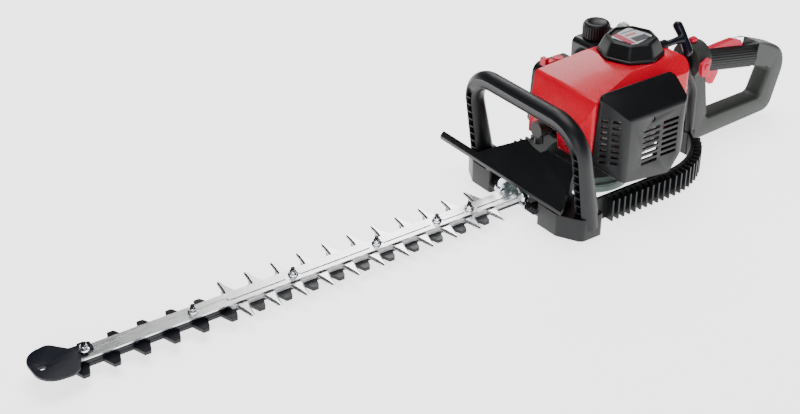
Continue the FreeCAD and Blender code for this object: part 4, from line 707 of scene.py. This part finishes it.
def loop_ring(y, z, angle):
    """The tube's outline with its channel, at one point of the path; the legs swell to the front."""
    ring = []
    swell = 1 + LEG_SWELL * min(1.0, max(0.0, (LOOP_RISE - LOOP_CORNER - z) / SWELL_SPAN))
    open_angle = math.asin(CHANNEL_HALF / LOOP_TUBE)
    for step in range(TUBE_STEPS + 1):
        turn = open_angle + (2 * math.pi - 2 * open_angle) * step / TUBE_STEPS
        ring.append((LOOP_TUBE * math.cos(turn), LOOP_TUBE * math.sin(turn)))
    lip, depth = LOOP_TUBE * math.cos(open_angle), channel_depth(z)
    ring += [(lip - 0.8 - depth * 0.05, -CHANNEL_HALF + 1.0), (lip - 1.0 - depth, -CHANNEL_HALF + 1.7),
             (lip - 1.0 - depth, CHANNEL_HALF - 1.7), (lip - 0.8 - depth * 0.05, CHANNEL_HALF - 1.0)]
    return [leaned(y + out * math.cos(angle), z + out * math.sin(angle),
                   (forward - LOOP_TUBE) * swell + LOOP_TUBE) for forward, out in ring]


loop = lofted("front_loop", [loop_ring(*spot) for spot in loop_path()])
loop.data.set_sharp_from_angle(angle=math.radians(38))
webs = Pattern("loop_webs", Count=8, Size=Vector((9.0, 8.6, 1.5)) * MM)
leg_line = webs.node("GeometryNodeMeshToCurve", None, {"Mesh": webs.size("Seed")})
leg_dots = webs.node("GeometryNodeResampleCurve", None, {"Curve": leg_line, "Count": webs.size("Count")})
web_block = webs.node("GeometryNodeMeshCube", None, {"Size": webs.size("Size")})
webs.finish_with(webs.node("GeometryNodeInstanceOnPoints", None, {
    "Points": leg_dots, "Instance": web_block, "Rotation": (0.0, -LOOP_LEAN, 0.0)}))
for side in (-1, 1):
    leg = bpy.data.meshes.new("leg")
    leg.from_pydata([leaned(side * LOOP_HALF, up, WEB_FORWARD) for up in (WEB_FROM, WEB_TO)], [(0, 1)], [])
    absorb(loop, webs.grow("web_row", leg, "black_plastic"))
settle(loop, "chassis", "black_plastic", "front_handle")
print("loop faces", len(loop.data.polygons))

# %% [markdown]
# The starter's pull is a bent bar that swells at both ends, moulded over the rope's stem. It is lofted
# from ellipses along a shallow arc.

# %% Starter pull
PULL = Vector((660, -10, 146))
PULL_HALF, PULL_TILT, PULL_STEPS, PULL_POINTS = 24.0, math.radians(38), 9, 20
STEM_PROFILE = ((631, 3.6), (631.8, 4.4), (644, 4.4), (652, 5.2), (657, 6.4), (660, 6.6))
pull_turns = [2 * math.pi * number / PULL_POINTS for number in range(PULL_POINTS)]
pull_rings = []
for step in range(2 * PULL_STEPS + 1):
    share = -1 + step / PULL_STEPS
    along, bow = share * PULL_HALF, 3.5 * (share * share - 0.6)
    ease = math.sqrt(max(0.02, 1 - abs(share) ** 9))
    wide, deep = (5.6 + 1.4 * share * share) * ease, (6.4 + 1.4 * share * share) * ease
    ring = []
    for angle in pull_turns:
        x, across = wide * math.cos(angle) - bow * 0.6, deep * math.sin(angle)
        ring.append(at(PULL.x + x, PULL.y + along * math.sin(PULL_TILT) - across * math.cos(PULL_TILT),
                       PULL.z + along * math.cos(PULL_TILT) + across * math.sin(PULL_TILT)))
    pull_rings.append(ring)
pull = lofted("pull_bar", pull_rings)
stem_rings = [[at(x, PULL.y + radius * math.cos(angle), PULL.z + radius * math.sin(angle))
               for angle in pull_turns] for x, radius in STEM_PROFILE]
absorb(pull, lofted("pull_stem", stem_rings))
settle(pull, BODY_OF["starter_handle"], "tip_plastic", "starter_handle")

# %% [markdown]
# The starter's cover is a faceted dome: flat panels lean in to a raised frame that holds the label. The
# CAD cover stays as the wall and this shroud clads it, so the cover's vents don't show. The shroud is
# lofted as a closed loop of rings: up the outside, over the rim and down the inside.

# %% Starter shroud
SHROUD_X, SHROUD_BASE, SHROUD_TOP, SHROUD_TURN = 578.0, 147.0, 166.4, math.radians(13)
PANELS_ROUND, SHROUD_FOOT, SHROUD_HEAD = 8, 42.5, 33.0
SHROUD_POINTS, CORNER_SOFTNESS = 90, 1.012


def shroud_ring(radius, height):
    """A rounded octagon, so that flat panels meet in soft corners."""
    ring = []
    half_panel = math.pi / PANELS_ROUND
    for number in range(SHROUD_POINTS):
        angle = 2 * math.pi * number / SHROUD_POINTS + SHROUD_TURN
        wedge = math.cos(half_panel) / math.cos((angle % (2 * half_panel)) - half_panel)
        reach = radius * min(1.0, wedge * CORNER_SOFTNESS)
        ring.append(at(SHROUD_X + reach * math.cos(angle), reach * math.sin(angle), height))
    return ring


shroud_steps = [(SHROUD_FOOT - 3.0, SHROUD_BASE), (SHROUD_FOOT, SHROUD_BASE),
                (SHROUD_FOOT, SHROUD_BASE + 2.4), (SHROUD_FOOT - 2.0, SHROUD_BASE + 3.4),
                (SHROUD_HEAD + 2.4, SHROUD_TOP - 4.0), (SHROUD_HEAD, SHROUD_TOP),
                (SHROUD_HEAD - 3.0, SHROUD_TOP + 1.6), (SHROUD_HEAD - 5.0, SHROUD_TOP + 1.6),
                (SHROUD_HEAD - 5.6, SHROUD_TOP - 0.6), (SHROUD_HEAD - 8.0, SHROUD_TOP - 1.2),
                (SHROUD_FOOT - 5.5, SHROUD_BASE + 3.0)]
shroud = lofted("starter_shroud", [shroud_ring(*step) for step in shroud_steps], ring_closed=True)
shroud.data.set_sharp_from_angle(angle=math.radians(24))
settle(shroud, "chassis", "black_plastic")

# %% [markdown]
# The fuel cap is turned by hand, so its rim has grip ribs. The cap is lofted with a softly domed top
# and a tree sets one small block round it thirty times, each block square to the machine.

# %% Fuel cap
cap_low, cap_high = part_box("fuel_cap")
cap_middle = (cap_low + cap_high) / 2
cap_radius, cap_tall = (cap_high.x - cap_low.x) / 2, cap_high.z - cap_low.z
CAP_RIBS, CAP_POINTS, RIB_PLACE, RIB_TALL, RIB_MIDDLE = 30, 60, 0.94, 0.72, 0.46
CAP_PROFILE = ((0.0, 0.90), (0.03, 0.94), (0.10, 0.95), (0.84, 0.95), (0.93, 0.91), (0.975, 0.84),
               (0.99, 0.60), (0.965, 0.56), (0.962, 0.2))
cap_turns = [2 * math.pi * number / CAP_POINTS for number in range(CAP_POINTS)]
cap_rings = []
for lift, share in CAP_PROFILE:
    cap_rings.append([Vector((cap_middle.x + cap_radius * share * math.cos(angle),
                              cap_middle.y + cap_radius * share * math.sin(angle),
                              cap_low.z + cap_tall * lift)) for angle in cap_turns])
cap = lofted("ribbed_cap", cap_rings)
cap.data.set_sharp_from_angle(angle=math.radians(50))
rib_ring = Pattern("cap_ribs", Count=CAP_RIBS, Radius=cap_radius * RIB_PLACE,
                   Size=Vector((1.9 * MM, 1.5 * MM, cap_tall * RIB_TALL)))
round_line = rib_ring.node("GeometryNodeCurvePrimitiveCircle", {"mode": "RADIUS"}, {
    "Resolution": CAP_RIBS, "Radius": rib_ring.size("Radius")})
rib_dots = rib_ring.node("GeometryNodeCurveToPoints", {"mode": "COUNT"}, {
    "Curve": round_line, "Count": rib_ring.size("Count")})
rib_block = rib_ring.node("GeometryNodeMeshCube", None, {"Size": rib_ring.size("Size")})
rib_ring.finish_with(rib_ring.node("GeometryNodeInstanceOnPoints", None, {
    "Points": rib_dots, "Instance": rib_block}))
ribs = rib_ring.grow("cap_rib_set", bpy.data.meshes.new("cap_rib_set"), "black_plastic")
ribs.data.transform(Matrix.Translation((cap_middle.x, cap_middle.y, cap_low.z + cap_tall * RIB_MIDDLE)))
absorb(cap, ribs)
settle(cap, BODY_OF["fuel_cap"], "black_plastic", "fuel_cap")

# %% [markdown]
# Moulded covers, brackets and levers keep their CAD shape. Only their edges change: each is rounded by
# what its mould would give, from half a millimetre on a lever to several on the handle.

# %% Moulded edges
HANDLE_SIDE, SAME_PLANE = 14 * MM, 1e-5
COLLAR_REAR, GRIP_REAR, GRIP_UNDERSIDE = at(687, 0, 0).x, at(830, 0, 0).x, at(0, 0, 62).z


def handle_rim(edge):
    """The rims of the closed handle's two flat sides, behind its collar."""
    ends = [vert.co for vert in edge.verts]
    on_side = all(abs(abs(end.y - CENTRE_Y) - HANDLE_SIDE) < SAME_PLANE for end in ends)
    behind_collar = all(end.x > COLLAR_REAR for end in ends)
    under_grip = any(end.z > GRIP_UNDERSIDE and end.x < GRIP_REAR for end in ends)
    return on_side and behind_collar and not under_grip


eased("rear_handle", 5.5, 4, 30.0, handle_rim, clamp=False)
eased("front_bracket", 2.5, 3)
eased("hand_guard", 0.9, 2)
eased("engine_hood", 1.6, 3, 24.0)
eased("muffler_cover", 1.0, 2, 24.0)
eased("tip_protector", 1.0, 3)
eased("throttle_trigger", 1.2, 3)
eased("lockout_lever", 1.2, 3)
eased("throttle_limiter", 1.0, 3)
eased("stop_switch", 1.0, 3)

# %% [markdown]
# A plain pale floor and soft light from a large overhead panel, a low front panel and a bright room:
# the black plastics need wide soft reflections to show their shape, and the red hood needs a clean one.

# %% Floor, light and camera
FLOOR_HALF, FLOOR_DROP = 30.0, 0.0005
floor_mesh = bpy.data.meshes.new("floor")
corners = [(-FLOOR_HALF, -FLOOR_HALF), (FLOOR_HALF, -FLOOR_HALF),
           (FLOOR_HALF, FLOOR_HALF), (-FLOOR_HALF, FLOOR_HALF)]
floor_mesh.from_pydata([(x, y, cad_box[0].z - FLOOR_DROP) for x, y in corners], [], [(0, 1, 2, 3)])
floor = new_piece("floor", floor_mesh)
paper = Finish("paper", Emission_Color=(1, 1, 1, 1), Emission_Strength=2.2)
paper_cloud = paper.noise(3.0)
paper.put("Base Color", paper.blend(paper_cloud, (0.94, 0.94, 0.94), (0.96, 0.96, 0.96)))
paper.put("Roughness", 0.8 + paper_cloud * 0.1)
floor_mesh.materials.append(paper.material)

HORIZON, ZENITH = 0.3, 1.5
world = bpy.data.worlds.new("studio")
world.use_nodes = True
sky = Graph(world.node_tree)
upward = world.node_tree.nodes.new("ShaderNodeSeparateXYZ")
world.node_tree.links.new(sky.node("ShaderNodeTexCoord", output=0).socket, upward.inputs[0])
height = sky.node("ShaderNodeMapRange", {"interpolation_type": "SMOOTHSTEP"}, {
    "Value": Wire(sky, upward.outputs[2]), "From Min": 0.05, "From Max": 0.75,
    "To Min": HORIZON, "To Max": ZENITH})
world.node_tree.links.new(height.socket, world.node_tree.nodes["Background"].inputs["Strength"])
bpy.context.scene.world = world
PANELS = [("overhead", (0.3, 0.5, 3.2), (0.1, 0, 0), 2.6, 120),
          ("front", (-2.4, -2.6, 1.5), (0.1, 0, 0.1), 1.3, 45),
          ("rear", (1.4, 2.0, 1.6), (0.1, 0, 0.1), 1.0, 22)]
for name, spot, target, size, power in PANELS:
    panel = bpy.data.lights.new(name, "AREA")
    panel.size, panel.energy = size, power
    lamp = bpy.data.objects.new(name, panel)
    lamp.location = spot
    lamp.rotation_euler = (Vector(target) - Vector(spot)).to_track_quat("-Z", "Y").to_euler()
    bpy.context.scene.collection.objects.link(lamp)

AZIMUTH, ELEVATION, LENS = math.radians(-35.301), math.radians(30.714), 65.1
CAMERA_PLACE = (-0.9294, -1.1892 + CENTRE_Y, 0.9260)
back = Vector((math.sin(AZIMUTH) * math.cos(ELEVATION), -math.cos(AZIMUTH) * math.cos(ELEVATION),
               math.sin(ELEVATION)))
camera = bpy.data.objects.new("camera", bpy.data.cameras.new("camera"))
camera.data.lens = LENS
camera.location = CAMERA_PLACE
camera.rotation_mode = "QUATERNION"
camera.rotation_quaternion = (-back).to_track_quat("-Z", "Y")
bpy.context.scene.collection.objects.link(camera)
bpy.context.scene.camera = camera
